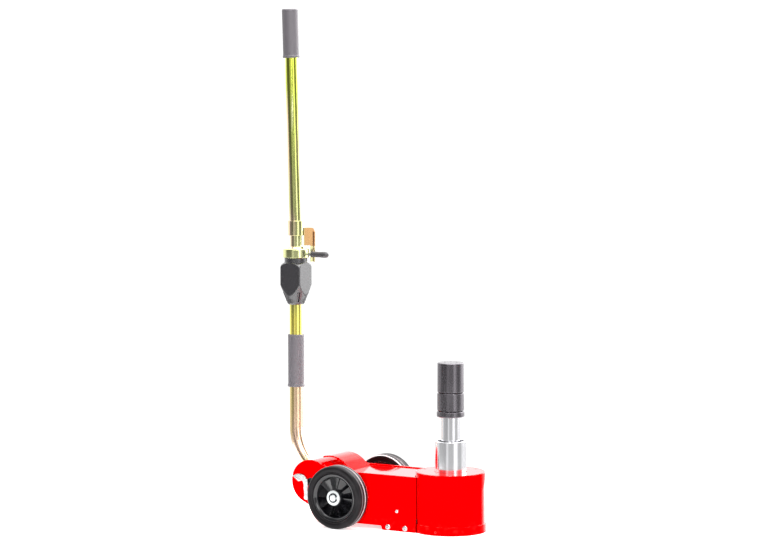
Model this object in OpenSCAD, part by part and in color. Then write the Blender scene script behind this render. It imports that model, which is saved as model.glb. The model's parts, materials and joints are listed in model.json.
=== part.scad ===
// Air-hydraulic two-stage truck jack on wheels, with a long control handle.
// Millimetres. Origin on the ram axis at ground level: +Z up, +X from the handle towards
// the ram, +Y to the side away from the lock pawl.

/* [Ram housing] */
// Height of the round ram housing above the ground
housing_h = 150; // [140:1:185]
// Radius of the housing at its top face
housing_r = 87; // [82:0.5:105]
// Extra radius of the housing wall just above the foot lip
housing_draft = 1.5; // [0:0.1:2.5]
// Width of the foot lip past the housing wall
lip_w = 3; // [2:0.5:5]
// Height of the foot lip
lip_h = 22; // [14:1:30]
// Thickness of the housing wall at its top
housing_wall = 8; // [6:0.5:12]
// Thickness of the screwed-on cover of the housing
cover_t = 8; // [6:0.5:12]

/* [Ram stages] */
// Outer radius of the first-stage tube
first_r = 39.45; // [36:0.05:46]
// Outer radius of the second-stage rod
second_r = 24.3; // [20:0.1:28]
// How far the second stage stands out of the first
second_up = 60.5; // [50:0.5:75]
// Running gap between the rams and their bores, on the radius
fit_gap = 0.05; // [0.02:0.01:0.1]
// Outer radius of the saddle ring
saddle_r = 34.8; // [31:0.1:41]
// Thickness of the saddle ring
saddle_t = 15; // [8:0.5:20]

/* [Extensions] */
// Height of the lower extension piece
lower_ext_h = 46; // [35:1:60]
// Height of the upper extension piece
upper_ext_h = 75; // [60:1:95]
// Radius of the lower extension piece
lower_ext_r = 33.8; // [30:0.1:41]
// Radius of the upper extension piece
upper_ext_r = 33.3; // [30:0.1:41]
// Radius of the locating spigots under the extensions
spigot_r = 14.8; // [12:0.1:17]
// Length of the locating spigots
spigot_h = 22; // [14:1:26]

/* [Chassis] */
// Half width of the chassis over its side plates
chassis_half_w = 77; // [72:0.5:80]
// Thickness of the side plates
plate_t = 6; // [4:0.5:8]
// Height of the top edge of the side plates
deck_z = 140; // [132:1:150]
// Ground clearance under the rear of the side plates
belly_z = 10; // [6:1:16]
// Thickness of the deck plate
deck_t = 6; // [4:0.5:8]
// Distance from the ram axis back to the handle pivot
hinge_back = 365; // [350:1:440]
// Height of the handle pivot
hinge_z = 105; // [95:1:115]
// Radius of the rounded rear ends of the side plates
cheek_r = 56; // [52:0.5:62]

/* [Wheels] */
// Wheel radius
wheel_r = 80; // [66:1:96]
// Distance from the ram axis back to the wheel axle
axle_back = 259; // [255:1:280]
// Width of a wheel
wheel_w = 41; // [34:1:50]
// Gap between a side plate and its wheel
wheel_gap = 21; // [16:1:26]
// Axle radius
axle_r = 10; // [8:0.5:12]

/* [Handle] */
// Radius of the lower handle tube
tube_r = 16.5; // [14:0.1:20]
// Wall of the handle tubes
tube_wall = 2.5; // [1.5:0.1:3.5]
// Distance of the upright handle tube behind the pivot
handle_offset = 91; // [84:1:96]
// Backward lean of the upper tube in degrees
upper_lean = 1.7; // [0:0.1:3]
// Height at which the tube starts to bend
bend_z = 232; // [226:1:240]
// Bend radius of the tube's centreline
bend_r = 130; // [124:1:136]
// Height of the bottom of the lower grip
low_grip_z = 335; // [300:1:360]
// Length of the lower grip
low_grip_h = 135; // [100:1:158]
// Height of the bottom of the valve housing
valve_z = 547; // [520:1:620]
// Height of the valve housing
valve_h = 120; // [110:1:140]
// Width of the valve housing across its flats
valve_w = 60; // [54:0.5:72]
// Length of the top grip
top_grip_h = 124; // [100:1:150]
// Height of the top of the handle
handle_top = 1301; // [1080:1:1570]

/* [Hidden] */
$fn = 96;

// Places along X and the vertical
hinge_x = -hinge_back;
axle_x = -axle_back;
axle_z = wheel_r;
foot_r = housing_r + housing_draft;
lip_r = foot_r + lip_w;

// Pressure sleeve, first stage and what fits to them
sleeve_z = 10;
floor_t = 24;
piston_h = 28;
piston_lip = 5.55;
spring_h = 12;
gland_plug = 8;
gland_flange = 6;
sleeve_wall = 7;
first_piston_r = first_r + piston_lip;
bore_r = first_piston_r + fit_gap;
sleeve_r = bore_r + sleeve_wall;
cover_z = housing_h - cover_t;
sleeve_top = cover_z - gland_flange;
gland_z = sleeve_top - gland_plug;
piston_z = gland_z - spring_h - piston_h;
first_floor_gap = 1;
first_up = piston_z - sleeve_z - first_floor_gap;
first_top = housing_h + first_up;
wiper_t = 5;
wiper_w = 4.5;
cavity_r = housing_r - housing_wall;
cover_r = cavity_r + 3;
screw_ring_r = cavity_r - 5;
boss_r = 7;
cover_screw_r = 2.5;
cover_head_r = 4;
cover_head_h = 3;
cover_screw_l = 22;

// Second stage
second_piston_lip = 5.7;
second_piston_h = 18;
second_piston_r = second_r + second_piston_lip;
second_bore_r = second_piston_r + fit_gap;
tube_floor_t = 10;
second_floor_gap = 3;
inner_gland_h = 12;
rim_depth = 12.5;
inner_gland_r = second_bore_r + 3.45;
inner_gland_z = first_top - rim_depth - inner_gland_h;
second_z = piston_z + tube_floor_t + second_floor_gap + second_up;
saddle_z = first_top + second_up;
second_top = saddle_z + saddle_t;
seal_w = 5;
seal_depth = 3;
recess_gap = 0.2;
recess_r = spigot_r + recess_gap;
recess_h = spigot_h + 2;
ext_edge = 2;
groove_d = 3;

// Return spring round the first stage
spring_wire_r = 1.9;
spring_turns = 1.8;
spring_gap = 0.3;
spring_r = (first_r + bore_r) / 2;

// Chassis
plate_in = chassis_half_w - plate_t;
deck_inset = 2.5;
deck_gap = 0.5;
foot_front_x = -57;
foot_back_x = -153;
notch_h = 35;
housing_gap = 2.2;
foot_lug_y = 60;
foot_lug_front_x = -40;
hood_slope = 23;
shaft_r = 10;
shaft_bore = 4;
drum_r = cheek_r - 2;
drum_wall = 6;
drum_side_gap = 0.5;
drum_half_w = plate_in - drum_side_gap;
drum_end_t = 10;
cheek_bite = 0.06;
tangent_r = cheek_r - cheek_bite;
hood_tangent = [hinge_x + tangent_r * sin(hood_slope), hinge_z + tangent_r * cos(hood_slope)];
hood_run = (hood_tangent[1] - deck_z) / tan(hood_slope);
deck_back_x = hood_tangent[0] + hood_run;
belly_turn_x = deck_back_x + 4;
belly_reach = sqrt(pow(belly_turn_x - hinge_x, 2) + pow(hinge_z - belly_z, 2));
belly_angle = atan2(belly_z - hinge_z, belly_turn_x - hinge_x) - acos(cheek_r / belly_reach);
belly_tangent = [hinge_x + tangent_r * cos(belly_angle), hinge_z + tangent_r * sin(belly_angle)];
apron_t = 3;
apron_start = 15;
hump_t = 4;
hump_half_w = 45;
hump_r = 70;
hump_x = hinge_x + 39;
hump_z = deck_z - 39;
hump_back_angle = 17.5;
hump_front_angle = 40;

// Air pipe from the swivel to the motor, above the axle
pipe_r = 4;
pipe_bend = 14;
pipe_y = chassis_half_w + 8;
pipe_cross_x = hinge_x + 66;
pipe_in_y = 15;
pipe_z = max(hinge_z, axle_z + axle_r + pipe_r + 1);
swivel_r = 12 + pipe_z - hinge_z;
swivel_l = 15;

// Pump block, bolts and air motor
block_front_x = foot_front_x - 2;
block_back_x = foot_back_x + 3;
block_top_z = 112;
block_base_z = 1;
plunger_r = 6;
plunger_back_x = block_back_x - 68;
plunger_front_x = block_back_x + 20;
motor_stroke = 25;
plunger_bore_l = plunger_front_x - block_back_x + motor_stroke + 5;
motor_z = pipe_z - 33;
motor_r = 43;
motor_bore_r = 38;
motor_flange_t = 8;
motor_back_x = axle_x + axle_r + 11;
motor_cap_t = 6;
motor_piston_t = 12;
bolt_x = [-136, -86.5];
bolt_z = 8.5;
bolt_r = 4;
bolt_head_r = 7;
bolt_head_h = 3.5;
bolt_l = 16;
motor_screw_x = -110.5;
motor_screw_z = 50;
motor_screw_r = 2.5;
motor_screw_head_r = 4.5;
motor_screw_head_h = 2;
block_screw_y = 30;
block_screw_z = 14;
block_screw_r = 5;
block_screw_bite = 14;

// Wheels
wheel_in = chassis_half_w + wheel_gap;
wheel_out = wheel_in + wheel_w;
wheel_mid = (wheel_in + wheel_out) / 2;
hub_out = wheel_out - 2.1;
rim_r = wheel_r - 19;
rim_lip_t = 5;
hub_r = axle_r + 11;
bush_wall = 2;
bush_r = axle_r + bush_wall;
bush_gap = 0.05;
blade_count = 10;
blade_t = 3;
web_t = 4;
washer_r = 19;
washer_t = 2;
axle_end_r = axle_r - 1.5;
axle_step = hub_out + 0.3;
circlip_r = 12.3;
circlip_t = 1.3;
groove_r = axle_end_r - 0.8;
spacer_r = axle_r + 6;

// Lock pawl and its notches
pawl_pivot = [hinge_x - 7, hinge_z - 39];
pawl_elbow = [hinge_x - 13, hinge_z + 3];
dog_rest = [hinge_x - 32, hinge_z + 9];
pawl_tip = [hinge_x - 51, hinge_z + 13];
dog_swing = 10;
dog_r = 4;
dog_slot_r = 4.8;
dog_slot_bulge = 0.3;
dog_reach = 5;
pawl_t = 5;
pawl_gap = 2;
pawl_w = 12;
pawl_bulge = 0.3;
pawl_head_r = 9.5;
pawl_tip_w = 2;
stud_r = 4;
stud_head_r = 7;
lock_angles = [0, 40, 80];
lock_disc_r = norm(dog_rest - [hinge_x, hinge_z]) - dog_r - 0.8;
lock_groove_r = lock_disc_r + 2 * dog_r + 1.8;
lock_groove_t = 6;
dog_arm = dog_rest - pawl_pivot;
dog_in = pawl_pivot + [
    dog_arm[0] * cos(dog_swing) + dog_arm[1] * sin(dog_swing),
    dog_arm[1] * cos(dog_swing) - dog_arm[0] * sin(dog_swing)
];

// Handle
bend_angle = 45;
handle_x = hinge_x - handle_offset;
bend_end = [handle_x + bend_r * (1 - cos(bend_angle)), bend_z - bend_r * sin(bend_angle)];
socket_dir = [sin(bend_angle), -cos(bend_angle)];
tail_l = 33;
socket_r = tube_r + 4.5;
socket_start = 20;
grip_wall = 4;
grip_rim = 1.2;
grip_rim_h = 4;
valve_top = valve_z + valve_h;
valve_neck_r = valve_w / 2 - 0.75;
valve_corner_r = valve_w / sqrt(2) - 0.2;
valve_foot_r = tube_r + 3;
tube_in_valve = 40;
ring_t = 23;
ring_gap = 0.4;
ring_r = valve_w / 2 + 3.5;
ring_z = valve_top + ring_gap;
ring_cone_h = 5;
neck_r = tube_r - 1.25;
neck_z = valve_top - 40;
sleeve_bottom = ring_z + ring_t + ring_cone_h + 28.6;
tube_sleeve_r = tube_r + 4;
tube_sleeve_h = 38;
upper_r = tube_r - 0.25;
upper_z = sleeve_bottom + 16;
neck_gap = 1;
disc_gap = 0.3;
disc_r = valve_w / 2 - 6;
disc_t = 15;
top_grip_z = handle_top - top_grip_h;
lever_z = ring_z + ring_t / 2 - 2;
lever_r = 8;
lever_pin_r = 4;
lever_start = ring_r + 14;
lever_end = ring_r + 64;
lever_pin_in = tube_r + 6;
guard_angle = 45;
guard_reach = ring_r + 15;
guard_t = 3;
guard_flange = 11;
guard_low = ring_z - 12;
guard_high = sleeve_bottom + tube_sleeve_h - 19;
guard_in = ring_r + 4;
guard_corner = 9;
inlet_r = 5.9;
inlet_depth = 14;
inlet_out_r = 10;
inlet_z = valve_z + 70;
hose_r = 4;
hose_y = 5;
hose_top = valve_z + 20;

// Cylinder along +Y from y
module rod_y(x, y, z, r, l) {
    translate([x, y, z]) rotate([-90, 0, 0]) cylinder(r = r, h = l);
}

// Turned shape about a line along +Y: the outline holds radius and y
module turned_y(x, z, outline) {
    translate([x, 0, z]) rotate([-90, 0, 0]) rotate_extrude() polygon(outline);
}

// Flat plate from an outline in X and Z, between y - t and y
module plate_xz(y, t) {
    translate([0, y, 0]) rotate([90, 0, 0]) linear_extrude(t) children();
}

module ring(r_out, r_in, z, h) {
    translate([0, 0, z]) rotate_extrude() translate([r_in, 0]) square([r_out - r_in, h]);
}

// Flat bar of width w in 2-D, from p to q
module bar_2d(p, q, w) {
    run = q - p;
    translate(p) rotate(atan2(run[1], run[0])) translate([0, -w / 2]) square([norm(run), w]);
}

module far_copy() {
    mirror([0, 1, 0]) children();
}

// Three screws of the housing cover, one of them straight back
module at_cover_screws() {
    for (turn = [180, 60, -60]) {
        rotate(turn) translate([screw_ring_r, 0, 0]) children();
    }
}

// ---- Ram housing ----
// Lug of the foot, in front of the side plate's own foot
module foot_lug() {
    back_x = foot_front_x + 1;
    translate([back_x, foot_lug_y, 0]) {
        cube([foot_lug_front_x - back_x, chassis_half_w - 0.5 - foot_lug_y, lip_h]);
    }
}

module ram_housing() {
    color("red") difference() {
        union() {
            rotate_extrude() polygon([
                [0, 0], [lip_r - 1.5, 0], [lip_r, 1.5], [lip_r, lip_h - 1.5], [lip_r - 1.5, lip_h],
                [foot_r, lip_h], [housing_r, housing_h - 1.5], [housing_r - 1.5, housing_h],
                [cover_r, housing_h], [cover_r, cover_z], [cavity_r, cover_z], [cavity_r, floor_t],
                [sleeve_r, floor_t], [sleeve_r, sleeve_z], [0, sleeve_z]
            ]);
            at_cover_screws() intersection() {
                translate([0, 0, floor_t]) cylinder(r = boss_r, h = cover_z - floor_t);
                translate([-screw_ring_r, 0, 0]) cylinder(r = cavity_r + 2, h = cover_z);
            }
            foot_lug();
            far_copy() foot_lug();
        }
        at_cover_screws() translate([0, 0, cover_z - cover_screw_l + cover_t - cover_head_h]) {
            cylinder(r = cover_screw_r, h = cover_screw_l);
        }
        at_block_screws() cylinder(r = block_screw_r, h = -block_back_x);
    }
}

module pressure_sleeve() {
    color("silver") ring(sleeve_r, bore_r, sleeve_z, sleeve_top - sleeve_z);
}

module housing_cover() {
    color("red") difference() {
        rotate_extrude() polygon([
            [first_r + 0.8, housing_h], [first_r + 0.8, cover_z + wiper_t],
            [first_r + wiper_w, cover_z + wiper_t], [first_r + wiper_w, cover_z],
            [cover_r, cover_z], [cover_r, housing_h - 1], [cover_r - 1, housing_h]
        ]);
        at_cover_screws() translate([0, 0, cover_z - 1]) cylinder(r = cover_screw_r, h = cover_t + 2);
        at_cover_screws() translate([0, 0, housing_h - cover_head_h]) {
            cylinder(r = cover_head_r, h = cover_head_h + 1);
        }
    }
}

module gland_ring() {
    color("dimgray") rotate_extrude() polygon([
        [first_r + fit_gap, gland_z], [bore_r, gland_z], [bore_r, sleeve_top],
        [sleeve_r, sleeve_top], [sleeve_r, cover_z], [first_r + fit_gap, cover_z]
    ]);
}

module wiper_ring() {
    color("black") ring(first_r + wiper_w, first_r + fit_gap, cover_z, wiper_t);
}

module cover_screws() {
    color("dimgray") at_cover_screws() {
        translate([0, 0, housing_h - cover_head_h]) difference() {
            cylinder(r = cover_head_r, h = cover_head_h);
            translate([0, 0, 1]) cylinder(r = 1.6, h = cover_head_h, $fn = 6);
        }
        translate([0, 0, housing_h - cover_head_h - cover_screw_l + 2]) {
            cylinder(r = cover_screw_r, h = cover_screw_l - 2);
        }
    }
}

// ---- Chassis ----
module side_outline() {
    polygon([
        [hinge_x, hinge_z], hood_tangent, [deck_back_x, deck_z], [0, deck_z], [0, notch_h],
        [foot_front_x, notch_h], [foot_front_x, 0], [foot_back_x, 0], [foot_back_x - 4, belly_z],
        [belly_turn_x, belly_z], belly_tangent
    ]);
}

module side_holes() {
    rod_y(hinge_x, plate_in - 1, hinge_z, shaft_r, plate_t + 2);
    rod_y(axle_x, plate_in - 1, axle_z, axle_r, plate_t + 2);
    for (x = bolt_x) {
        rod_y(x, plate_in - 1, bolt_z, bolt_r, plate_t + 2);
    }
    rod_y(motor_screw_x, plate_in - 1, motor_screw_z, motor_screw_r, plate_t + 2);
}

// Side plate on the +Y side; the near one is its mirror image
module side_plate() {
    difference() {
        union() {
            plate_xz(chassis_half_w, plate_t) side_outline();
            rod_y(hinge_x, plate_in, hinge_z, cheek_r, plate_t);
        }
        side_holes();
        translate([0, 0, -1]) cylinder(r = foot_r + housing_gap, h = deck_z + 2);
    }
}

// Notch that the pawl's dog swings into
module dog_notch_2d() {
    translate(dog_in) circle(r = dog_slot_r);
    bar_2d(dog_in, dog_rest, 2 * (dog_slot_r - dog_slot_bulge));
}

module near_side_plate() {
    color("red") difference() {
        far_copy() side_plate();
        plate_xz(1 - plate_in, plate_t + 2) {
            dog_notch_2d();
            translate(dog_rest) circle(r = dog_slot_r);
        }
        rod_y(pawl_pivot[0], -chassis_half_w - 1, pawl_pivot[1], stud_r, plate_t + 2);
    }
}

module far_side_plate() {
    color("red") difference() {
        side_plate();
        rod_y(pipe_cross_x, plate_in - 1, pipe_z, pipe_r, plate_t + 2);
    }
}

module deck_plate() {
    color("red") difference() {
        translate([deck_back_x, -plate_in, deck_z - deck_inset - deck_t]) {
            cube([-deck_back_x, 2 * plate_in, deck_t]);
        }
        translate([0, 0, -1]) cylinder(r = foot_r + 0.3, h = deck_z + 2);
    }
}

module rear_apron() {
    run_l = norm(hood_tangent - [deck_back_x, deck_z]) - apron_start - 1;
    color("red") plate_xz(plate_in, 2 * plate_in) translate(hood_tangent) rotate(-hood_slope) {
        translate([apron_start, -apron_t]) square([run_l, apron_t]);
    }
}

function hump_point(r, a) = [hump_x + r * sin(a), hump_z + r * cos(a)];

// Foot of the arch on the deck, straight on from the end of an arc of radius r
function hump_foot(r) =
    let (end = hump_point(r, hump_front_angle))
    let (deck_top = deck_z - deck_inset)
    [end[0] + (end[1] - deck_top) / tan(hump_front_angle), deck_top];

// Arched cover over the handle pivot, open at the back
module hinge_cover() {
    steps = 10;
    turn = hump_back_angle + hump_front_angle;
    inner_r = hump_r - hump_t;
    outer = [for (i = [0:steps]) hump_point(hump_r, turn * i / steps - hump_back_angle)];
    inner = [for (i = [steps:-1:0]) hump_point(inner_r, turn * i / steps - hump_back_angle)];
    color("red") plate_xz(hump_half_w, 2 * hump_half_w) {
        polygon(concat(outer, [hump_foot(hump_r), hump_foot(inner_r)], inner));
    }
}

module at_block_screws() {
    for (y = [-block_screw_y, block_screw_y]) {
        translate([block_back_x, y, block_screw_z]) rotate([0, 90, 0]) children();
    }
}

module pump_block() {
    color("dimgray") difference() {
        translate([block_back_x, -plate_in, block_base_z]) {
            cube([block_front_x - block_back_x, 2 * plate_in, block_top_z - block_base_z]);
        }
        translate([0, 0, lip_h]) cylinder(r = foot_r + 0.3, h = block_top_z);
        cylinder(r = lip_r, h = lip_h + 0.3);
        translate([block_back_x - 1, 0, motor_z]) rotate([0, 90, 0]) {
            cylinder(r = plunger_r + fit_gap, h = plunger_bore_l + 1);
        }
        at_block_screws() cylinder(r = block_screw_r, h = -block_back_x);
        for (x = bolt_x, side = [-1, 1]) {
            rod_y(x, side * (plate_in - bolt_l / 2) - bolt_l / 2, bolt_z, bolt_r, bolt_l);
        }
        for (side = [-1, 1]) {
            rod_y(motor_screw_x, side * (plate_in - 5) - 5, motor_screw_z, motor_screw_r, 10);
        }
    }
}

module block_screws() {
    reach = sqrt(pow(lip_r, 2) - pow(block_screw_y, 2));
    color("dimgray") at_block_screws() {
        cylinder(r = block_screw_r, h = -block_back_x - reach + block_screw_bite);
    }
}

// Button-headed screw through a side plate, its head outside
module side_screw(x, z, head_r, head_h, shank_r, l) {
    turned_y(x, z, [
        [0, plate_in - l], [shank_r, plate_in - l], [shank_r, chassis_half_w],
        [head_r, chassis_half_w], [head_r, chassis_half_w + 0.4 * head_h],
        [0.75 * head_r, chassis_half_w + head_h], [0, chassis_half_w + head_h]
    ]);
}

module side_bolts() {
    color("silver") for (x = bolt_x) {
        side_screw(x, bolt_z, bolt_head_r, bolt_head_h, bolt_r, bolt_l);
        far_copy() side_screw(x, bolt_z, bolt_head_r, bolt_head_h, bolt_r, bolt_l);
    }
}

module motor_screw() {
    side_screw(motor_screw_x, motor_screw_z, motor_screw_head_r, motor_screw_head_h, motor_screw_r, 10);
}

module motor_screws() {
    color("silver") {
        motor_screw();
        far_copy() motor_screw();
    }
}

// ---- Axle ----
module axle() {
    color("silver") turned_y(axle_x, axle_z, [
        [0, -axle_end()], [axle_end_r - 1, -axle_end()], [axle_end_r, 1 - axle_end()],
        [axle_end_r, -circlip_y() - circlip_t], [groove_r, -circlip_y() - circlip_t],
        [groove_r, -circlip_y()], [axle_end_r, -circlip_y()], [axle_end_r, -axle_step],
        [axle_r, -axle_step], [axle_r, axle_step], [axle_end_r, axle_step],
        [axle_end_r, circlip_y()], [groove_r, circlip_y()], [groove_r, circlip_y() + circlip_t],
        [axle_end_r, circlip_y() + circlip_t], [axle_end_r, axle_end() - 1],
        [axle_end_r - 1, axle_end()], [0, axle_end()]
    ]);
}

function circlip_y() = axle_step + washer_t;
function axle_end() = circlip_y() + circlip_t + 1.5;

module axle_ring(y, l, r_out, r_in) {
    turned_y(axle_x, axle_z, [[r_in, y], [r_out, y], [r_out, y + l], [r_in, y + l]]);
}

module axle_spacers() {
    color("silver") for (side = [0, 1]) {
        mirror([0, side, 0]) axle_ring(chassis_half_w, wheel_gap - 0.3, spacer_r, axle_r);
    }
}

module axle_washers() {
    color("silver") for (side = [0, 1]) {
        mirror([0, side, 0]) axle_ring(axle_step, washer_t, washer_r, axle_end_r);
    }
}

module circlip() {
    difference() {
        axle_ring(circlip_y(), circlip_t, circlip_r, groove_r);
        translate([axle_x, circlip_y() - 1, axle_z - 2.5]) cube([circlip_r + 2, circlip_t + 2, 5]);
    }
}

module axle_circlips() {
    color("gray") {
        circlip();
        far_copy() circlip();
    }
}

// ---- Handle pivot and air supply on the chassis ----
module hinge_shaft() {
    color("silver") turned_y(hinge_x, hinge_z, [
        [0, -chassis_half_w], [shaft_r, -chassis_half_w], [shaft_r, chassis_half_w],
        [shaft_bore, chassis_half_w], [shaft_bore, 0], [0, 0]
    ]);
}

module air_swivel() {
    color("gold") difference() {
        rod_y(hinge_x, chassis_half_w, hinge_z, swivel_r, swivel_l);
        rod_y(hinge_x, chassis_half_w - 1, hinge_z, shaft_bore, 8);
        translate([hinge_x, pipe_y, hinge_z]) rotate([0, 90, 0]) cylinder(r = pipe_r, h = swivel_r + 1);
    }
}

// Quarter bend of the pipe, centred at c, from angle a to a + 90 in plan
module pipe_bend_at(c, a) {
    translate(c) rotate(a) rotate_extrude(angle = 90) translate([pipe_bend, 0]) circle(r = pipe_r);
}

module pipe_run_x(x, y, l) {
    translate([x, y, pipe_z]) rotate([0, 90, 0]) cylinder(r = pipe_r, h = l);
}

module air_pipe() {
    start_x = hinge_x + 6;
    turn_x = pipe_cross_x - pipe_bend;
    in_x = pipe_cross_x + pipe_bend;
    color("silver") {
        pipe_run_x(start_x, pipe_y, turn_x - start_x);
        pipe_bend_at([turn_x, pipe_y - pipe_bend, pipe_z], 0);
        rod_y(pipe_cross_x, pipe_in_y + pipe_bend, pipe_z, pipe_r, pipe_y - pipe_in_y - 2 * pipe_bend);
        pipe_bend_at([in_x, pipe_in_y + pipe_bend, pipe_z], 180);
        pipe_run_x(in_x, pipe_in_y, motor_back_x - motor_cap_t - in_x);
    }
}

// ---- Air motor and pump ----
module along_motor(x) {
    translate([x, 0, motor_z]) rotate([0, 90, 0]) children();
}

module motor_cylinder() {
    l = block_back_x - motor_back_x;
    color("lightgray") along_motor(motor_back_x) difference() {
        cylinder(r = motor_r, h = l);
        translate([0, 0, -1]) cylinder(r = motor_bore_r, h = l - motor_flange_t + 1);
        cylinder(r = plunger_r + 1, h = l + 1);
    }
}

module motor_cap() {
    color("lightgray") along_motor(motor_back_x - motor_cap_t) cylinder(r = motor_r, h = motor_cap_t);
}

module motor_piston() {
    color("gray") along_motor(plunger_back_x - motor_piston_t) {
        cylinder(r = motor_bore_r - fit_gap, h = motor_piston_t);
    }
}

module pump_plunger() {
    color("silver") along_motor(plunger_back_x) {
        cylinder(r = plunger_r, h = plunger_front_x - plunger_back_x);
    }
}

// ---- Lock pawl ----
module pawl_stud() {
    color("silver") turned_y(pawl_pivot[0], pawl_pivot[1], [
        [0, -plate_in], [stud_r, -plate_in], [stud_r, -pawl_out() - 0.3],
        [stud_head_r, -pawl_out() - 0.3], [stud_head_r, -pawl_out() - 2.3],
        [stud_head_r - 1, -pawl_out() - 3.3], [0, -pawl_out() - 3.3]
    ]);
}

function pawl_out() = chassis_half_w + pawl_gap + pawl_t;

// Pawl lever: a bar up from the stud, a round head and a tapering tip
module lock_pawl() {
    inner_y = -chassis_half_w - pawl_gap;
    tip_run = pawl_tip - dog_rest;
    tip_l = norm(tip_run);
    color("khaki") difference() {
        union() {
            plate_xz(inner_y, pawl_t) bar_2d(pawl_pivot, pawl_elbow, pawl_w);
            plate_xz(inner_y, pawl_t) bar_2d(pawl_elbow, dog_rest, pawl_w);
            plate_xz(inner_y, pawl_t) translate(dog_rest) rotate(atan2(tip_run[1], tip_run[0])) {
                polygon([
                    [0, 1 - pawl_head_r], [tip_l, -pawl_tip_w / 2], [tip_l, pawl_tip_w / 2], [0, pawl_head_r - 1]
                ]);
            }
            rod_y(pawl_pivot[0], -pawl_out(), pawl_pivot[1], pawl_w / 2 + pawl_bulge, pawl_t);
            rod_y(pawl_elbow[0], -pawl_out(), pawl_elbow[1], pawl_w / 2 + pawl_bulge, pawl_t);
            rod_y(dog_rest[0], -pawl_out(), dog_rest[1], pawl_head_r, pawl_t);
            rod_y(dog_rest[0], inner_y - 1, dog_rest[1], dog_r, 1 + pawl_gap + plate_t + dog_reach);
        }
        rod_y(pawl_pivot[0], -pawl_out() - 1, pawl_pivot[1], stud_r + fit_gap, pawl_t + 2);
    }
}

// ---- Ram stages ----
function spring_point(c, t) =
    let (turn = 360 * spring_turns * t)
    let (r = spring_r + spring_wire_r * cos(c))
    [r * cos(turn), r * sin(turn), spring_wire_r * sin(c)];

module first_return_spring() {
    rings = 44;
    sides = 8;
    z_low = piston_z + piston_h + spring_gap + spring_wire_r;
    rise = spring_h - 2 * (spring_gap + spring_wire_r);
    points = [
        for (i = [0:rings], j = [0:sides - 1])
            spring_point(360 * j / sides, i / rings) + [0, 0, z_low + rise * i / rings]
    ];
    walls = [
        for (i = [0:rings - 1], j = [0:sides - 1])
            let (k = (j + 1) % sides)
            [i * sides + j, (i + 1) * sides + j, (i + 1) * sides + k, i * sides + k]
    ];
    start = [for (j = [0:sides - 1]) j];
    end = [for (j = [sides - 1:-1:0]) rings * sides + j];
    color("gray") polyhedron(points, concat(walls, [start], [end]));
}

module first_ram() {
    seal_z = piston_z + piston_h / 2 - seal_w / 2;
    color("silver") rotate_extrude() polygon([
        [0, piston_z], [first_piston_r, piston_z], [first_piston_r, seal_z],
        [first_piston_r - seal_depth, seal_z], [first_piston_r - seal_depth, seal_z + seal_w],
        [first_piston_r, seal_z + seal_w], [first_piston_r, piston_z + piston_h],
        [first_r, piston_z + piston_h], [first_r, first_top - 1.2], [first_r - 1.2, first_top],
        [inner_gland_r, first_top], [inner_gland_r, inner_gland_z], [second_bore_r, inner_gland_z],
        [second_bore_r, piston_z + tube_floor_t], [0, piston_z + tube_floor_t]
    ]);
}

module first_ram_seal() {
    seal_z = piston_z + piston_h / 2 - seal_w / 2;
    color("black") ring(first_piston_r, first_piston_r - seal_depth, seal_z, seal_w);
}

module inner_gland() {
    color("dimgray") rotate_extrude() polygon([
        [second_r + fit_gap, inner_gland_z], [inner_gland_r, inner_gland_z],
        [inner_gland_r, inner_gland_z + inner_gland_h], [second_r + 3, inner_gland_z + inner_gland_h],
        [second_r + fit_gap, inner_gland_z + inner_gland_h - 2]
    ]);
}

module second_ram() {
    seal_z = second_z + second_piston_h / 2 - seal_w / 2;
    color("silver") rotate_extrude() polygon([
        [0, second_z], [second_piston_r, second_z], [second_piston_r, seal_z],
        [second_piston_r - seal_depth, seal_z], [second_piston_r - seal_depth, seal_z + seal_w],
        [second_piston_r, seal_z + seal_w], [second_piston_r, second_z + second_piston_h],
        [second_r, second_z + second_piston_h], [second_r, second_top], [recess_r, second_top],
        [recess_r, second_top - recess_h], [0, second_top - recess_h]
    ]);
}

module second_ram_seal() {
    seal_z = second_z + second_piston_h / 2 - seal_w / 2;
    color("black") ring(second_piston_r, second_piston_r - seal_depth, seal_z, seal_w);
}

module saddle_ring() {
    color("dimgray") rotate_extrude() polygon([
        [second_r, saddle_z], [saddle_r - 1.5, saddle_z], [saddle_r, saddle_z + 1.5],
        [saddle_r, second_top - ext_edge], [saddle_r - groove_d, second_top], [second_r, second_top]
    ]);
}

// ---- Extensions ----
module lower_extension() {
    top = second_top + lower_ext_h;
    color("dimgray") rotate_extrude() polygon([
        [0, second_top - spigot_h], [spigot_r - 1, second_top - spigot_h],
        [spigot_r, second_top - spigot_h + 1], [spigot_r, second_top],
        [lower_ext_r - groove_d, second_top], [lower_ext_r, second_top + ext_edge],
        [lower_ext_r, top - ext_edge], [lower_ext_r - groove_d, top], [recess_r, top],
        [recess_r, top - recess_h], [0, top - recess_h]
    ]);
}

module upper_extension() {
    base = second_top + lower_ext_h;
    top = base + upper_ext_h;
    dimple_r = 2.2;
    dimple_ring = 17;
    color("dimgray") difference() {
        rotate_extrude() polygon([
            [0, base - spigot_h], [spigot_r - 1, base - spigot_h], [spigot_r, base - spigot_h + 1],
            [spigot_r, base], [upper_ext_r - groove_d, base], [upper_ext_r, base + ext_edge],
            [upper_ext_r, top - 1.5], [upper_ext_r - 1.5, top], [0, top]
        ]);
        for (turn = [0:60:300]) {
            rotate(turn) translate([dimple_ring, 0, top - 2]) cylinder(r = dimple_r, h = 3);
        }
    }
}

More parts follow.
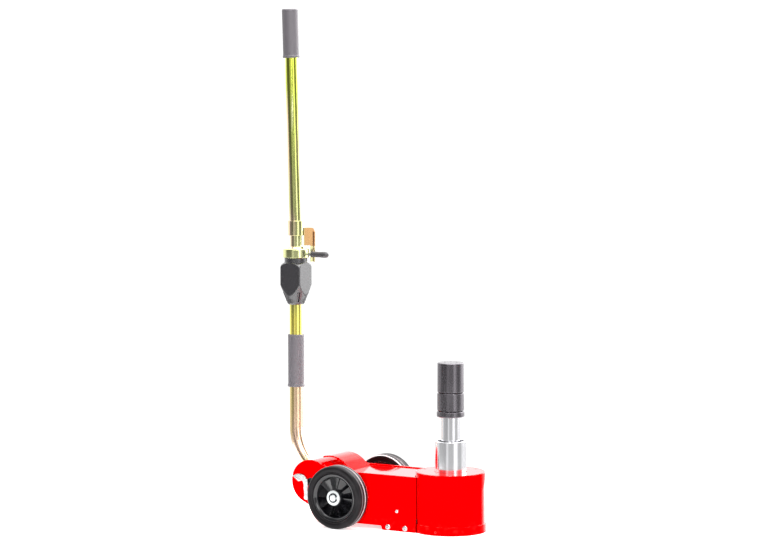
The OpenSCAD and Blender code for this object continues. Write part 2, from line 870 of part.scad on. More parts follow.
// ---- Wheels, made on the +Y side ----
module tyre() {
    groove = 2.2;
    shoulder = 6;
    y_in = wheel_in;
    y_out = wheel_out;
    rib = wheel_w / 5;
    color("black") turned_y(axle_x, axle_z, [
        [rim_r, y_in + 3], [rim_r + 3, y_in], [wheel_r - shoulder, y_in], [wheel_r - 1.6, y_in + 2.5],
        [wheel_r, y_in + shoulder], [wheel_r, wheel_mid - rib / 2 - 1], [wheel_r - groove, wheel_mid - rib / 2],
        [wheel_r - groove, wheel_mid - rib / 2 + 1.5], [wheel_r, wheel_mid - rib / 2 + 2.5],
        [wheel_r, wheel_mid + rib - 1], [wheel_r - groove, wheel_mid + rib],
        [wheel_r - groove, wheel_mid + rib + 1.5], [wheel_r, wheel_mid + rib + 2.5],
        [wheel_r, y_out - shoulder], [wheel_r - 1.6, y_out - 2.5], [wheel_r - shoulder, y_out],
        [rim_r + 3, y_out], [rim_r, y_out - 3]
    ]);
}

// One blade of the rim, from the hub to the rim ring
module blade() {
    reach = rim_r - rim_lip_t - hub_r + 2;
    translate([hub_r - 1, wheel_in + 5, -blade_t / 2]) cube([reach, wheel_w - 10, blade_t]);
}

module rim() {
    color("black") {
        difference() {
            union() {
                turned_y(axle_x, axle_z, [
                    [bush_r, wheel_in], [hub_r, wheel_in], [hub_r, wheel_mid - web_t / 2],
                    [rim_r - rim_lip_t, wheel_mid - web_t / 2], [rim_r - rim_lip_t, wheel_in + 4],
                    [rim_r, wheel_in + 4], [rim_r, wheel_out - 3], [rim_r - 1.5, wheel_out - 1.5],
                    [rim_r - rim_lip_t, wheel_out - 3], [rim_r - rim_lip_t, wheel_mid + web_t / 2],
                    [hub_r, wheel_mid + web_t / 2], [hub_r, hub_out], [bush_r, hub_out]
                ]);
                for (i = [0:blade_count - 1]) {
                    translate([axle_x, 0, axle_z]) rotate([0, 360 * i / blade_count, 0]) blade();
                }
            }
            rod_y(axle_x, wheel_in - 1, axle_z, bush_r, wheel_w + 2);
        }
    }
}

module bush() {
    color("tan") axle_ring(wheel_in, hub_out - wheel_in, bush_r, axle_r + bush_gap);
}

module near_tyre() {
    far_copy() tyre();
}

module near_rim() {
    far_copy() rim();
}

module near_bush() {
    far_copy() bush();
}

module far_tyre() {
    tyre();
}

module far_rim() {
    rim();
}

module far_bush() {
    bush();
}

// ---- Handle ----
module on_tube() {
    translate([handle_x, 0, 0]) children();
}

// The upper tube leans back from its foot in the sleeve
module on_upper_tube() {
    translate([handle_x, 0, upper_z]) rotate([0, -upper_lean, 0]) translate([0, 0, -upper_z]) children();
}

// Straight cylinder along the tail of the tube, from a to b past the end of the bend
module tail_rod(r, a, b) {
    start = bend_end + a * socket_dir;
    translate([start[0], 0, start[1]]) rotate([0, 180 - bend_angle, 0]) cylinder(r = r, h = b - a);
}

// Solid that follows the bent centreline, offset by y, from the tail up to z_top
module bent_rod(r, y, z_top) {
    translate([0, y, 0]) {
        tail_rod(r, 0, tail_l);
        translate([handle_x + bend_r, 0, bend_z]) rotate([90, 0, 0]) rotate(180) {
            rotate_extrude(angle = bend_angle) translate([bend_r, 0]) circle(r = r);
        }
        translate([handle_x, 0, bend_z]) cylinder(r = r, h = z_top - bend_z);
    }
}

module handle_drum() {
    inner = drum_half_w - drum_end_t;
    shaft_hole = shaft_r + fit_gap;
    groove_y = lock_groove_t - drum_half_w;
    color("red") difference() {
        union() {
            turned_y(hinge_x, hinge_z, [
                [shaft_hole, -drum_half_w], [lock_disc_r, -drum_half_w], [lock_disc_r, groove_y],
                [lock_groove_r, groove_y], [lock_groove_r, -drum_half_w], [drum_r, -drum_half_w],
                [drum_r, drum_half_w], [shaft_hole, drum_half_w], [shaft_hole, inner], [drum_r - drum_wall, inner],
                [drum_r - drum_wall, -inner], [shaft_hole, -inner]
            ]);
            tail_rod(socket_r, socket_start, tail_l);
        }
        tail_rod(tube_r, -10, tail_l + 1);
        for (turn = lock_angles) {
            translate([hinge_x, 0, hinge_z]) rotate([0, turn, 0]) {
                translate([-hinge_x, 0, -hinge_z]) plate_xz(groove_y - 0.5, lock_groove_t) dog_notch_2d();
            }
        }
    }
}

module lower_tube() {
    color("khaki") difference() {
        bent_rod(tube_r, 0, valve_z + tube_in_valve);
        bent_rod(tube_r - tube_wall, 0, valve_z + tube_in_valve + 1);
        tail_rod(tube_r - tube_wall, tail_l - 1, tail_l + 1);
    }
}

module grip(z, h, r_in) {
    r_out = r_in + grip_wall;
    color("gray") rotate_extrude() polygon([
        [r_in, z], [r_out + grip_rim - 0.6, z], [r_out + grip_rim, z + 0.6],
        [r_out + grip_rim, z + grip_rim_h], [r_out, z + grip_rim_h + 1],
        [r_out, z + h - grip_rim_h - 1], [r_out + grip_rim / 2, z + h - grip_rim_h],
        [r_out + grip_rim / 2, z + h - 1], [r_out - 0.6, z + h], [r_in, z + h]
    ]);
}

module lower_grip() {
    on_tube() grip(low_grip_z, low_grip_h, tube_r);
}

module valve_housing() {
    corner = 3;
    half = valve_w / 2;
    color([0.16, 0.16, 0.18]) on_tube() difference() {
        intersection() {
            rotate_extrude() polygon([
                [0, valve_z], [valve_foot_r, valve_z], [valve_foot_r + 2.5, valve_z + 3],
                [valve_foot_r + 6, valve_z + 14], [valve_corner_r, valve_top - 68],
                [valve_corner_r, valve_top - 22], [valve_corner_r - 2.5, valve_top - 18],
                [valve_corner_r - 7, valve_top - 14], [valve_neck_r, valve_top - 12],
                [valve_neck_r, valve_top], [0, valve_top]
            ]);
            union() {
                translate([-half + corner, -half, valve_z]) cube([valve_w - 2 * corner, valve_w, valve_h]);
                translate([-half, -half + corner, valve_z]) cube([valve_w, valve_w - 2 * corner, valve_h]);
                for (x = [-1, 1], y = [-1, 1]) {
                    translate([x * (half - corner), y * (half - corner), valve_z]) {
                        cylinder(r = corner, h = valve_h);
                    }
                }
            }
        }
        translate([0, 0, valve_z - 1]) cylinder(r = tube_r, h = tube_in_valve + 1);
        translate([0, 0, neck_z]) cylinder(r = neck_r, h = valve_top - neck_z + 1);
        translate([0, 0, valve_top - disc_t - disc_gap]) cylinder(r = disc_r + disc_gap, h = disc_t + 2);
        translate([0, 0, inlet_z]) rotate([-90, 0, 0]) cylinder(r = inlet_out_r, h = valve_w);
    }
}

module inlet_bush() {
    color("gold") on_tube() translate([0, 0, inlet_z]) rotate([-90, 0, 0]) difference() {
        translate([0, 0, neck_r + 1]) cylinder(r = inlet_out_r, h = valve_w / 2 - neck_r + 1);
        translate([0, 0, valve_w / 2 + 2 - inlet_depth]) cylinder(r = inlet_r, h = inlet_depth);
    }
}

module neck_tube() {
    color("khaki") on_tube() ring(neck_r, neck_r - tube_wall, neck_z, upper_z - neck_gap - neck_z);
}

module handle_sleeve() {
    top = sleeve_bottom + tube_sleeve_h;
    color("khaki") difference() {
        on_tube() rotate_extrude() polygon([
            [0, sleeve_bottom], [tube_sleeve_r - 1, sleeve_bottom], [tube_sleeve_r, sleeve_bottom + 1],
            [tube_sleeve_r, top - 1], [tube_sleeve_r - 1, top], [0, top]
        ]);
        on_tube() translate([0, 0, sleeve_bottom - 1]) cylinder(r = neck_r, h = upper_z - sleeve_bottom + 1);
        on_upper_tube() translate([0, 0, upper_z]) cylinder(r = upper_r, h = tube_sleeve_h);
    }
}

// Guard outline: radius from the tube and height
module guard_outline() {
    difference() {
        union() {
            translate([tube_sleeve_r - 1, guard_low]) {
                square([guard_reach - tube_sleeve_r - guard_corner + 1, guard_high - guard_low]);
            }
            translate([tube_sleeve_r - 1, guard_low]) {
                square([guard_reach - tube_sleeve_r + 1, guard_high - guard_low - guard_corner]);
            }
            translate([guard_reach - guard_corner, guard_high - guard_corner]) circle(r = guard_corner);
        }
        translate([0, guard_low - 1]) square([guard_in, ring_z + ring_t + ring_cone_h + 3 - guard_low]);
    }
}

module lever_guard() {
    color("khaki") on_tube() difference() {
        rotate(guard_angle) {
            rotate([90, 0, 0]) linear_extrude(guard_t) guard_outline();
            translate([guard_reach - guard_t, -guard_flange, guard_low]) {
                cube([guard_t, guard_flange, guard_high - guard_low - guard_corner]);
            }
        }
        cylinder(r = tube_sleeve_r, h = handle_top);
    }
}

module upper_tube() {
    color("khaki") on_upper_tube() ring(upper_r, upper_r - tube_wall, upper_z, handle_top - upper_z - 2);
}

module top_grip() {
    on_upper_tube() grip(top_grip_z, top_grip_h, upper_r);
}

module air_hoses() {
    color("black") for (side = [-1, 1]) {
        bent_rod(hose_r, side * hose_y, hose_top);
    }
}

// ---- Control ring and lever ----
module control_ring() {
    bore = neck_r + fit_gap;
    color("khaki") on_tube() difference() {
        rotate_extrude() polygon([
            [bore, ring_z], [ring_r - 1, ring_z], [ring_r, ring_z + 1], [ring_r, ring_z + ring_t - 2],
            [ring_r - 2, ring_z + ring_t], [neck_r + 6, ring_z + ring_t],
            [neck_r + 2, ring_z + ring_t + ring_cone_h], [bore, ring_z + ring_t + ring_cone_h]
        ]);
        translate([lever_pin_in, 0, lever_z]) rotate([0, 90, 0]) cylinder(r = lever_pin_r, h = ring_r);
    }
}

module valve_disc() {
    color("gold") on_tube() ring(disc_r, neck_r + fit_gap, ring_z - disc_t, disc_t);
}

module lever_pin() {
    color("silver") on_tube() translate([lever_pin_in, 0, lever_z]) rotate([0, 90, 0]) {
        cylinder(r = lever_pin_r, h = lever_end - 12 - lever_pin_in);
    }
}

module lever_sleeve() {
    l = lever_end - lever_start;
    color("dimgray") on_tube() translate([lever_start, 0, lever_z]) rotate([0, 90, 0]) difference() {
        union() {
            cylinder(r = lever_r, h = l - lever_r);
            translate([0, 0, l - lever_r]) sphere(r = lever_r);
        }
        translate([0, 0, -1]) cylinder(r = lever_pin_r, h = lever_end - 12 - lever_start + 1);
    }
}

ram_housing();
pressure_sleeve();
housing_cover();
gland_ring();
wiper_ring();
cover_screws();
near_side_plate();
far_side_plate();
deck_plate();
rear_apron();
hinge_cover();
pump_block();
block_screws();
side_bolts();
motor_screws();
axle();
axle_spacers();
axle_washers();
axle_circlips();
hinge_shaft();
air_swivel();
air_pipe();
motor_cylinder();
motor_cap();
motor_piston();
pump_plunger();
pawl_stud();
lock_pawl();
first_return_spring();
first_ram();
first_ram_seal();
inner_gland();
second_ram();
second_ram_seal();
saddle_ring();
lower_extension();
upper_extension();
near_tyre();
near_rim();
near_bush();
far_tyre();
far_rim();
far_bush();
handle_drum();
lower_tube();
lower_grip();
valve_housing();
neck_tube();
handle_sleeve();
lever_guard();
upper_tube();
top_grip();
air_hoses();
inlet_bush();
control_ring();
valve_disc();
lever_pin();
lever_sleeve();
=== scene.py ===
# %% [markdown]
# # A wheeled air-hydraulic jack
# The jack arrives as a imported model: solid parts in metres, each in its place and each tied to the
# body that it moves with. This lesson gives those parts their looks: rounded edges, turned and
# formed details, and finishes built from nodes.

import json
from math import atan2, cos, degrees, pi, radians, sin, sqrt, tau

import bmesh
import bpy
from mathutils import Matrix, Vector


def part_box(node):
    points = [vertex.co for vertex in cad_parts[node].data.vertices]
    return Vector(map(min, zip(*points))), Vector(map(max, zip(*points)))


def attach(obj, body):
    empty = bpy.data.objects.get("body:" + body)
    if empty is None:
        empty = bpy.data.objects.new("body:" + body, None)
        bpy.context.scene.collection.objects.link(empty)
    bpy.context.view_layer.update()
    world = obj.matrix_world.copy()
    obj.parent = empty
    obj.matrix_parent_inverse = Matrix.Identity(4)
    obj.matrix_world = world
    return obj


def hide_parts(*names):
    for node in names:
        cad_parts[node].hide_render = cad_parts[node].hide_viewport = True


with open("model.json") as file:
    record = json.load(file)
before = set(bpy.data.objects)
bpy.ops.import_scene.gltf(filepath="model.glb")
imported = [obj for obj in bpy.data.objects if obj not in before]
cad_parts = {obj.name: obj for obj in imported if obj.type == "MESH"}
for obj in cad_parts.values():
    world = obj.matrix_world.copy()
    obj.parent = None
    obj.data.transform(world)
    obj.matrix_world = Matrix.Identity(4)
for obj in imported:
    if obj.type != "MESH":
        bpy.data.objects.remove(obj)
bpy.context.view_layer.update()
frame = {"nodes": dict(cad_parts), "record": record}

# %% [markdown]
# The parts are drawn in millimetres, because a workshop drawing is, and scaled to metres when a
# piece is finished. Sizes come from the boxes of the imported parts, so that the pieces fit them.

# %% Sizes in millimetres
MM = 0.001


def box_mm(node):
    """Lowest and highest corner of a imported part, in millimetres."""
    low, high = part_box(node)
    return low / MM, high / MM


def centre_mm(node):
    low, high = box_mm(node)
    return (low + high) / 2


print("housing is", [round(v) for v in box_mm("ram_housing")[1] - box_mm("ram_housing")[0]], "mm")

# %% [markdown]
# ## Nodes as arithmetic
# A finish is a small program that runs at every point of a surface. Written node by node it is
# hard to read, so a thin class lets a socket take part in ordinary sums, and one method makes any
# other node.


# %% A socket that can be added and multiplied
class Signal:
    """A number that varies over a surface."""

    def __init__(self, finish, socket):
        self.finish = finish
        self.socket = socket

    def maths(self, operation, *values):
        inputs = dict(enumerate(values))
        return self.finish.node("ShaderNodeMath", {"operation": operation}, inputs)

    def __add__(self, other):
        return self.maths("ADD", self, other)

    def __sub__(self, other):
        return self.maths("SUBTRACT", self, other)

    def __rsub__(self, other):
        return self.maths("SUBTRACT", other, self)

    def __mul__(self, other):
        return self.maths("MULTIPLY", self, other)

    __radd__ = __add__
    __rmul__ = __mul__


# %% A finish and its one node method
class Finish:
    """A node material, or the nodes of the studio around the jack."""

    def __init__(self, owner):
        owner.use_nodes = True
        self.owner = owner
        self.tree = owner.node_tree

    def node(self, kind, settings=None, inputs=None, output=0):
        made = self.tree.nodes.new(kind)
        for name, value in (settings or {}).items():
            if name == "stops":
                self.set_stops(made.color_ramp, value)
            else:
                setattr(made, name, value)
        for name, value in (inputs or {}).items():
            self.feed(made.inputs[name], value)
        return Signal(self, made.outputs[output])

    def feed(self, socket, value):
        if isinstance(value, Signal):
            self.tree.links.new(value.socket, socket)
        else:
            socket.default_value = value

    def set_stops(self, ramp, stops):
        while len(ramp.elements) < len(stops):
            ramp.elements.new(0.5)
        for element, (place, colour) in zip(ramp.elements, stops):
            element.position = place
            element.color = (*colour, 1)

    def place(self, stretch=(1, 1, 1)):
        """The point on the piece in metres, stretched along its axes."""
        point = self.node("ShaderNodeTexCoord", output="Object")
        return self.node("ShaderNodeMapping", {}, {"Vector": point, "Scale": stretch})

    def along(self, axis, vector=None):
        """One coordinate of a vector, or else of the point on the piece."""
        return self.node("ShaderNodeSeparateXYZ", {}, {"Vector": vector or self.place()}, output=axis)

    def noise(self, scale, detail=2.0, stretch=(1, 1, 1)):
        inputs = {"Vector": self.place(stretch), "Scale": scale, "Detail": detail}
        return self.node("ShaderNodeTexNoise", {}, inputs, output="Fac")

    def mix(self, share, first, second):
        settings = {"data_type": "RGBA"}
        inputs = {"Factor": share, 6: self.rgba(first), 7: self.rgba(second)}
        return self.node("ShaderNodeMix", settings, inputs, output=2)

    def rgba(self, colour):
        return colour if isinstance(colour, Signal) else (*colour, 1)

    def between(self, signal, low, high):
        """Zero below low, one above high, and smooth between them."""
        settings = {"interpolation_type": "SMOOTHSTEP"}
        return self.node("ShaderNodeMapRange", settings, {"Value": signal, "From Min": low, "From Max": high})

    def within(self, signal, start, full, last, end):
        """Rises to one from start to full, and falls back to zero from last to end."""
        return self.between(signal, start, full) * self.between(0 - signal, -end, -last)

    def ramp(self, signal, stops):
        return self.node("ShaderNodeValToRGB", {"stops": stops}, {"Fac": signal})

    def bump(self, height, strength, distance=0.0002):
        return self.node("ShaderNodeBump", {}, {"Height": height, "Strength": strength, "Distance": distance})

    def surface(self, **looks):
        shader = self.tree.nodes["Principled BSDF"]
        for name, value in looks.items():
            self.feed(shader.inputs[name.replace("_", " ")], value)


# %% [markdown]
# ## Worn edges
# Paint and plating wear first where a hand or a shoe rubs, on the edges. Every bevel below marks
# its own points with an attribute called `edge`, and a finish reads it back here. Noise breaks the
# mark up, so that no edge is worn all along.


# %% Read the edge mark
def worn_edge(finish, amount):
    mark = finish.node("ShaderNodeAttribute", {"attribute_name": "edge"}, output="Fac")
    patches = finish.between(finish.noise(60, 4.0), 0.52, 0.62)
    return mark * patches * amount


def new_finish(name):
    return Finish(bpy.data.materials.new(name))


# %% [markdown]
# ## Red paint
# The chassis and the housing are sprayed in one gloss red. Sprayed paint is never quite flat: it
# has a fine orange peel, which is a weak bump a few millimetres across, and it gathers a little
# dust low down. The dust is a paler, rougher version of the same red. Seen along the surface, its
# clear top layer mirrors the room. A dark band is painted on the ends of the side plates: painted
# shade for the narrow gap between them and the foot.


# %% Red paint
FOOT_R = box_mm("ram_housing")[1].x * MM
PLATE_Y = -box_mm("near_side_plate")[1].y * MM


def red_paint(finish):
    height = finish.along("Z")
    low_down = 1 - finish.between(height, 0.0, 0.04)
    dust = low_down * finish.between(finish.noise(90, 5.0), 0.50, 0.80) * 0.10
    shade = finish.mix(finish.noise(5, 2.0), (0.92, 0.0, 0.001), (0.84, 0.0, 0.0))
    worn = worn_edge(finish, 0.25)
    peel = finish.noise(420, 1.5)
    facing = finish.node("ShaderNodeLayerWeight", {}, {"Blend": 0.5}, output="Facing")
    forward = finish.along("X")
    across = finish.along("Y")
    squared = forward * forward + across * across
    outwards = squared.maths("SQRT", squared)
    # painted shade: a dark band on the ends of the side plates, next to the foot, stands in for the shade in
    # the gap there
    painted_gap_shade = finish.within(outwards, *[FOOT_R + step * MM for step in (0.3, 0.8, 3.0, 3.8)])
    painted_gap_shade = painted_gap_shade * finish.between(across.maths("ABSOLUTE", across), PLATE_Y - MM, PLATE_Y)
    paint = finish.mix(worn + dust, shade, (0.62, 0.10, 0.09))
    finish.surface(
        Base_Color=finish.mix(painted_gap_shade, paint, (0.22, 0.0, 0.0)),
        Roughness=0.16 + 0.4 * dust + 0.06 * finish.noise(25, 3.0),
        Normal=finish.bump(peel, 0.05),
        Specular_IOR_Level=0.0,
        Coat_Weight=finish.between(facing, 0.50, 0.80),
        Coat_Roughness=0.06,
        Coat_IOR=1.7,
    )


# %% [markdown]
# ## Plated and bare metals
# Metal takes all its looks from what it mirrors, so its colour is pale and its roughness decides
# how wide the reflections spread. Machining leaves fine rings round a turned part, and grinding
# leaves fine lines: both are noise that is squeezed along one axis.


# %% Chrome, zinc and brass
def chrome(finish):
    rings = finish.noise(900, 2.0, stretch=(0.02, 0.02, 1))
    finish.surface(
        Base_Color=finish.mix(finish.noise(12, 2.0), (0.90, 0.90, 0.92), (0.82, 0.82, 0.85)),
        Roughness=0.09 + 0.05 * rings,
        Metallic=1.0,
        Normal=finish.bump(rings, 0.02),
    )


def zinc(finish):
    spangle = finish.noise(160, 3.0)
    worn = worn_edge(finish, 0.4)
    finish.surface(
        Base_Color=finish.mix(spangle, (0.62, 0.64, 0.64), (0.42, 0.45, 0.45)),
        Roughness=0.20 + 0.16 * spangle + 0.1 * worn,
        Metallic=1.0,
        Normal=finish.bump(spangle, 0.08),
    )


def blued_steel(finish):
    temper = finish.noise(70, 3.0)
    finish.surface(
        Base_Color=finish.mix(temper, (0.025, 0.027, 0.033), (0.050, 0.050, 0.056)),
        Roughness=0.26 + 0.15 * temper,
        Metallic=1.0,
        Normal=finish.bump(temper, 0.05),
    )


def brass(finish):
    rings = finish.noise(700, 2.0, stretch=(0.05, 1, 0.05))
    finish.surface(
        Base_Color=finish.mix(finish.noise(40, 3.0), (0.80, 0.62, 0.26), (0.62, 0.45, 0.16)),
        Roughness=0.22 + 0.15 * rings,
        Metallic=1.0,
        Normal=finish.bump(rings, 0.05),
    )


# %% [markdown]
# ## Yellow passivated zinc
# The handle is plated and then dipped in a bath that leaves a film thin enough to colour light as
# oil on water does. The film drifts from tan near the foot through straw and olive to green at the
# top, which a ramp over the height gives, and long, soft noise adds pink and pale patches. The
# guard plate comes out amber, and the front of the bend has a pink blush.


# %% Yellow zinc
HANDLE_TOP = 1.3
GUARD_TOP = box_mm("lever_guard")[1].z * MM
TUBE_X = centre_mm("lower_grip").x * MM
RING_TOP = box_mm("control_ring")[1].z * MM
FILM = [
    (0.12, (0.82, 0.60, 0.34)), (0.24, (0.78, 0.62, 0.26)), (0.31, (1.0, 0.86, 0.22)),
    (0.385, (1.0, 0.88, 0.18)), (0.43, (0.58, 0.58, 0.17)),
    (0.53, (0.66, 0.68, 0.34)), (0.60, (0.46, 0.47, 0.20)), (0.76, (0.44, 0.50, 0.12)),
    (0.90, (0.48, 0.54, 0.07)),
]


def yellow_zinc(finish):
    height = finish.along("Z")
    drift = height * (1 / HANDLE_TOP) + 0.10 * finish.noise(7, 2.0, stretch=(1, 1, 0.5)) - 0.05
    film = finish.ramp(drift, FILM)
    around = finish.noise(40, 3.0, stretch=(1, 1, 0.08))
    tinted = finish.mix(0.7 * finish.between(around, 0.54, 0.68), film, (0.86, 0.60, 0.50))
    pale = finish.mix(1 - 0.6 * finish.between(0 - around, -0.46, -0.34), (0.86, 0.86, 0.56), tinted)
    forward = finish.along("X")
    across = finish.along("Y")
    beside = finish.between(forward + across, TUBE_X + 30 * MM, TUBE_X + 31 * MM)
    on_guard = beside * finish.within(height, RING_TOP, RING_TOP + MM, GUARD_TOP, GUARD_TOP + MM)
    amber = finish.mix(0.85 * on_guard, pale, (0.52, 0.26, 0.11))
    on_bend = finish.within(height, 0.14, 0.18, 0.33, 0.36)
    blush = finish.between(forward, TUBE_X, TUBE_X + 6 * MM) * on_bend
    coloured = finish.mix(0.6 * blush, amber, (0.92, 0.62, 0.50))
    scratches = finish.noise(300, 3.0, stretch=(1, 1, 0.06))
    worn = worn_edge(finish, 0.5)
    finish.surface(
        Base_Color=finish.mix(worn, coloured, (0.80, 0.80, 0.78)),
        Roughness=0.12 + 0.14 * scratches,
        Metallic=1.0,
        Normal=finish.bump(scratches, 0.06),
    )


# %% [markdown]
# ## Blackened steel, iron and alloy
# The saddle and the extensions are blackened: a dark oxide with an oily sheen, marked by the
# lathe. The pump block is rough cast iron, and the air motor is bare machined alloy.


# %% Blackened steel, cast iron, alloy
def black_steel(finish):
    rings = finish.noise(800, 2.0, stretch=(0.03, 0.03, 1))
    stain = finish.noise(28, 3.0, stretch=(1, 1, 0.35))
    worn = worn_edge(finish, 0.5)
    oxide = finish.mix(finish.between(stain, 0.3, 0.75), (0.125, 0.116, 0.127), (0.165, 0.154, 0.168))
    finish.surface(
        Base_Color=finish.mix(worn, oxide, (0.30, 0.29, 0.30)),
        Roughness=0.24 + 0.06 * stain,
        Metallic=1.0,
        Normal=finish.bump(rings, 0.05),
    )


def cast_block(finish):
    grain = finish.noise(350, 6.0)
    finish.surface(
        Base_Color=finish.mix(finish.noise(30, 3.0), (0.10, 0.10, 0.105), (0.17, 0.165, 0.16)),
        Roughness=0.55 + 0.25 * grain,
        Metallic=0.6,
        Normal=finish.bump(grain, 0.45, 0.0006),
    )


def motor_alloy(finish):
    rings = finish.noise(600, 2.0, stretch=(1, 0.04, 0.04))
    finish.surface(
        Base_Color=finish.mix(finish.noise(20, 2.0), (0.70, 0.71, 0.72), (0.56, 0.57, 0.58)),
        Roughness=0.28 + 0.15 * rings,
        Metallic=1.0,
        Normal=finish.bump(rings, 0.08),
    )


# %% [markdown]
# ## Rubber and plastic
# The tyres are smooth solid rubber with dust in their pores, the rims are glossy moulded nylon,
# the valve body has a fine spark-eroded grain, and the grips are matt foam-like rubber. All four
# are dark, so the roughness tells them apart more than the colour does. Pale lines on the lips of
# the tread are painted highlights, and the sleeve of the lever is darker than the grips.


# %% Rubber and plastic
GROOVES = (-3.4, 8.9)
LIP_SCALE = 4


def lip_highlight_stops():
    """Ramp stops for painted highlights on the lips of the tread, over the distance across the jack."""
    low, high = (corner.y for corner in box_mm("far_tyre"))
    middle = (low + high) / 2
    lips = [(low + 3.4, 1.1, 1.0), (middle + GROOVES[0], 1.6, 0.9), (middle + GROOVES[1], 1.2, 0.35)]
    stops = [(0, (0, 0, 0))]
    for place, half, light in lips:
        for offset, share in ((-half - 0.5, 0), (-half, light), (half, light), (half + 0.5, 0)):
            stops.append(((place + offset) * MM * LIP_SCALE, (share, share, share)))
    return stops


LIP_HIGHLIGHTS = lip_highlight_stops()
LEVER_ROOT = box_mm("lever_sleeve")[0].x * MM


def tyre_rubber(finish):
    pores = finish.noise(500, 4.0)
    dust = finish.between(finish.noise(18, 4.0), 0.45, 0.75)
    rubber = finish.mix(dust, (0.008, 0.007, 0.008), (0.018, 0.016, 0.018))
    across = finish.along("Y")
    # painted highlight: pale lines at the tread's lips and shoulder stand in for the room mirrored along the
    # groove edges
    lip = finish.ramp(across.maths("ABSOLUTE", across) * LIP_SCALE, LIP_HIGHLIGHTS)
    finish.surface(
        Base_Color=finish.mix(lip, rubber, (0.80, 0.72, 0.74)),
        Roughness=0.28 + 0.14 * dust + 0.06 * pores,
        Normal=finish.bump(pores, 0.12),
        Specular_IOR_Level=0.12,
    )


def rim_plastic(finish):
    flow = finish.noise(45, 3.0)
    finish.surface(
        Base_Color=finish.mix(flow, (0.004, 0.004, 0.005), (0.010, 0.010, 0.012)),
        Roughness=0.10 + 0.12 * flow,
        Normal=finish.bump(finish.noise(260, 2.0), 0.06),
    )


def valve_plastic(finish):
    grain = finish.noise(1100, 2.0)
    worn = worn_edge(finish, 0.5)
    tone = finish.mix(finish.noise(25, 3.0), (0.016, 0.015, 0.018), (0.026, 0.024, 0.028))
    finish.surface(
        Base_Color=finish.mix(worn, tone, (0.16, 0.15, 0.17)),
        Roughness=0.26 + 0.12 * grain,
        Normal=finish.bump(grain, 0.16),
        Specular_IOR_Level=1.0,
    )


def grip_rubber(finish):
    grain = finish.noise(900, 5.0)
    scuffs = finish.between(finish.noise(30, 5.0, stretch=(1, 1, 0.3)), 0.5, 0.8)
    foam = finish.mix(scuffs, (0.110, 0.099, 0.112), (0.165, 0.151, 0.166))
    forward = finish.along("X")
    beside = finish.between(forward, LEVER_ROOT - 2 * MM, LEVER_ROOT)
    finish.surface(
        Base_Color=finish.mix(beside, foam, (0.035, 0.033, 0.036)),
        Roughness=0.45 + 0.15 * grain,
        Specular_IOR_Level=0.8,
        Normal=finish.bump(grain, 0.30, 0.0004),
    )


def seal_rubber(finish):
    grain = finish.noise(400, 3.0)
    finish.surface(
        Base_Color=finish.mix(grain, (0.012, 0.012, 0.012), (0.030, 0.030, 0.030)),
        Roughness=0.45 + 0.2 * grain,
        Normal=finish.bump(grain, 0.1),
    )


# %% Make every finish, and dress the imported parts
makers = [
    red_paint, chrome, zinc, blued_steel, brass, yellow_zinc, black_steel, cast_block,
    motor_alloy, tyre_rubber, rim_plastic, valve_plastic, grip_rubber, seal_rubber,
]
finishes = {}
for maker in makers:
    finish = new_finish(maker.__name__)
    maker(finish)
    finishes[maker.__name__] = finish.owner
slot_of = {row["node"]: row["material_slot"] for row in frame["record"]["subparts"]}
body_of = {
    node: body
    for body, nodes in frame["record"]["behaviour"]["bodies"].items()
    for node in nodes
}
for node, packed in frame["nodes"].items():
    packed.data.materials.clear()
    packed.data.materials.append(finishes[slot_of[node]])
print(len(finishes), "finishes on", len(frame["nodes"]), "packed parts")

# %% [markdown]
# ## From a shape to a piece
# A shape is a bmesh in millimetres. To become a piece it is scaled to metres, shaded smooth except
# over its creases, given the finish of the part that it stands for, and tied to that part's body.
# Weighted normals let the large faces set the shading, so that a small rounding does not bend the
# reflections in the face beside it.

# %% Finish a piece
CREASE = radians(32)


def dress(name, shape, slot, body):
    """Turn a shape into a piece with a finish that moves with a body."""
    bmesh.ops.scale(shape, vec=(MM, MM, MM), verts=shape.verts)
    mesh = bpy.data.meshes.new(name)
    shape.to_mesh(mesh)
    shape.free()
    mesh.polygons.foreach_set("use_smooth", [True] * len(mesh.polygons))
    mesh.set_sharp_from_angle(angle=CREASE)
    mesh.materials.append(finishes[slot])
    piece = bpy.data.objects.new(name, mesh)
    bpy.context.scene.collection.objects.link(piece)
    shading = piece.modifiers.new("shading", "WEIGHTED_NORMAL")
    shading.keep_sharp = True
    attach(piece, body)
    return piece


def finish_piece(name, shape, node, *more_nodes):
    """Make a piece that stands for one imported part, or for several on one body."""
    piece = dress(name, shape, slot_of[node], body_of[node])
    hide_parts(node, *more_nodes)
    part_low, part_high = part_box(node)
    spill = max(
        max(part_low[axis] - vert.co[axis], vert.co[axis] - part_high[axis])
        for vert in piece.data.vertices for axis in range(3)
    )
    print(f"{name}: {len(piece.data.polygons)} faces, {spill / MM:.1f} mm past {node}")
    return piece


# %% [markdown]
# ## Rounding edges
# No edge on a real part is perfectly sharp, and the thin highlight along an edge is what makes a
# render look solid. The helper bevels the creases of a shape and marks the middle of each bevel
# as `edge`, so that the mark fades out before the flat faces begin.


# %% Round the creases of a shape
def round_creases(shape, width, segments=2, angle=30):
    mark = shape.verts.layers.float.get("edge") or shape.verts.layers.float.new("edge")
    creases = [
        edge for edge in shape.edges
        if len(edge.link_faces) == 2 and edge.calc_face_angle() > radians(angle)
    ]
    result = bmesh.ops.bevel(
        shape, geom=creases, offset=width, offset_type="OFFSET", affect="EDGES",
        segments=segments, profile=0.5, material=-1, clamp_overlap=False, loop_slide=True,
    )
    strip = set(result["faces"])
    for vert in {vert for face in strip for vert in face.verts}:
        if strip.issuperset(vert.link_faces):
            vert[mark] = 1.0
    return shape


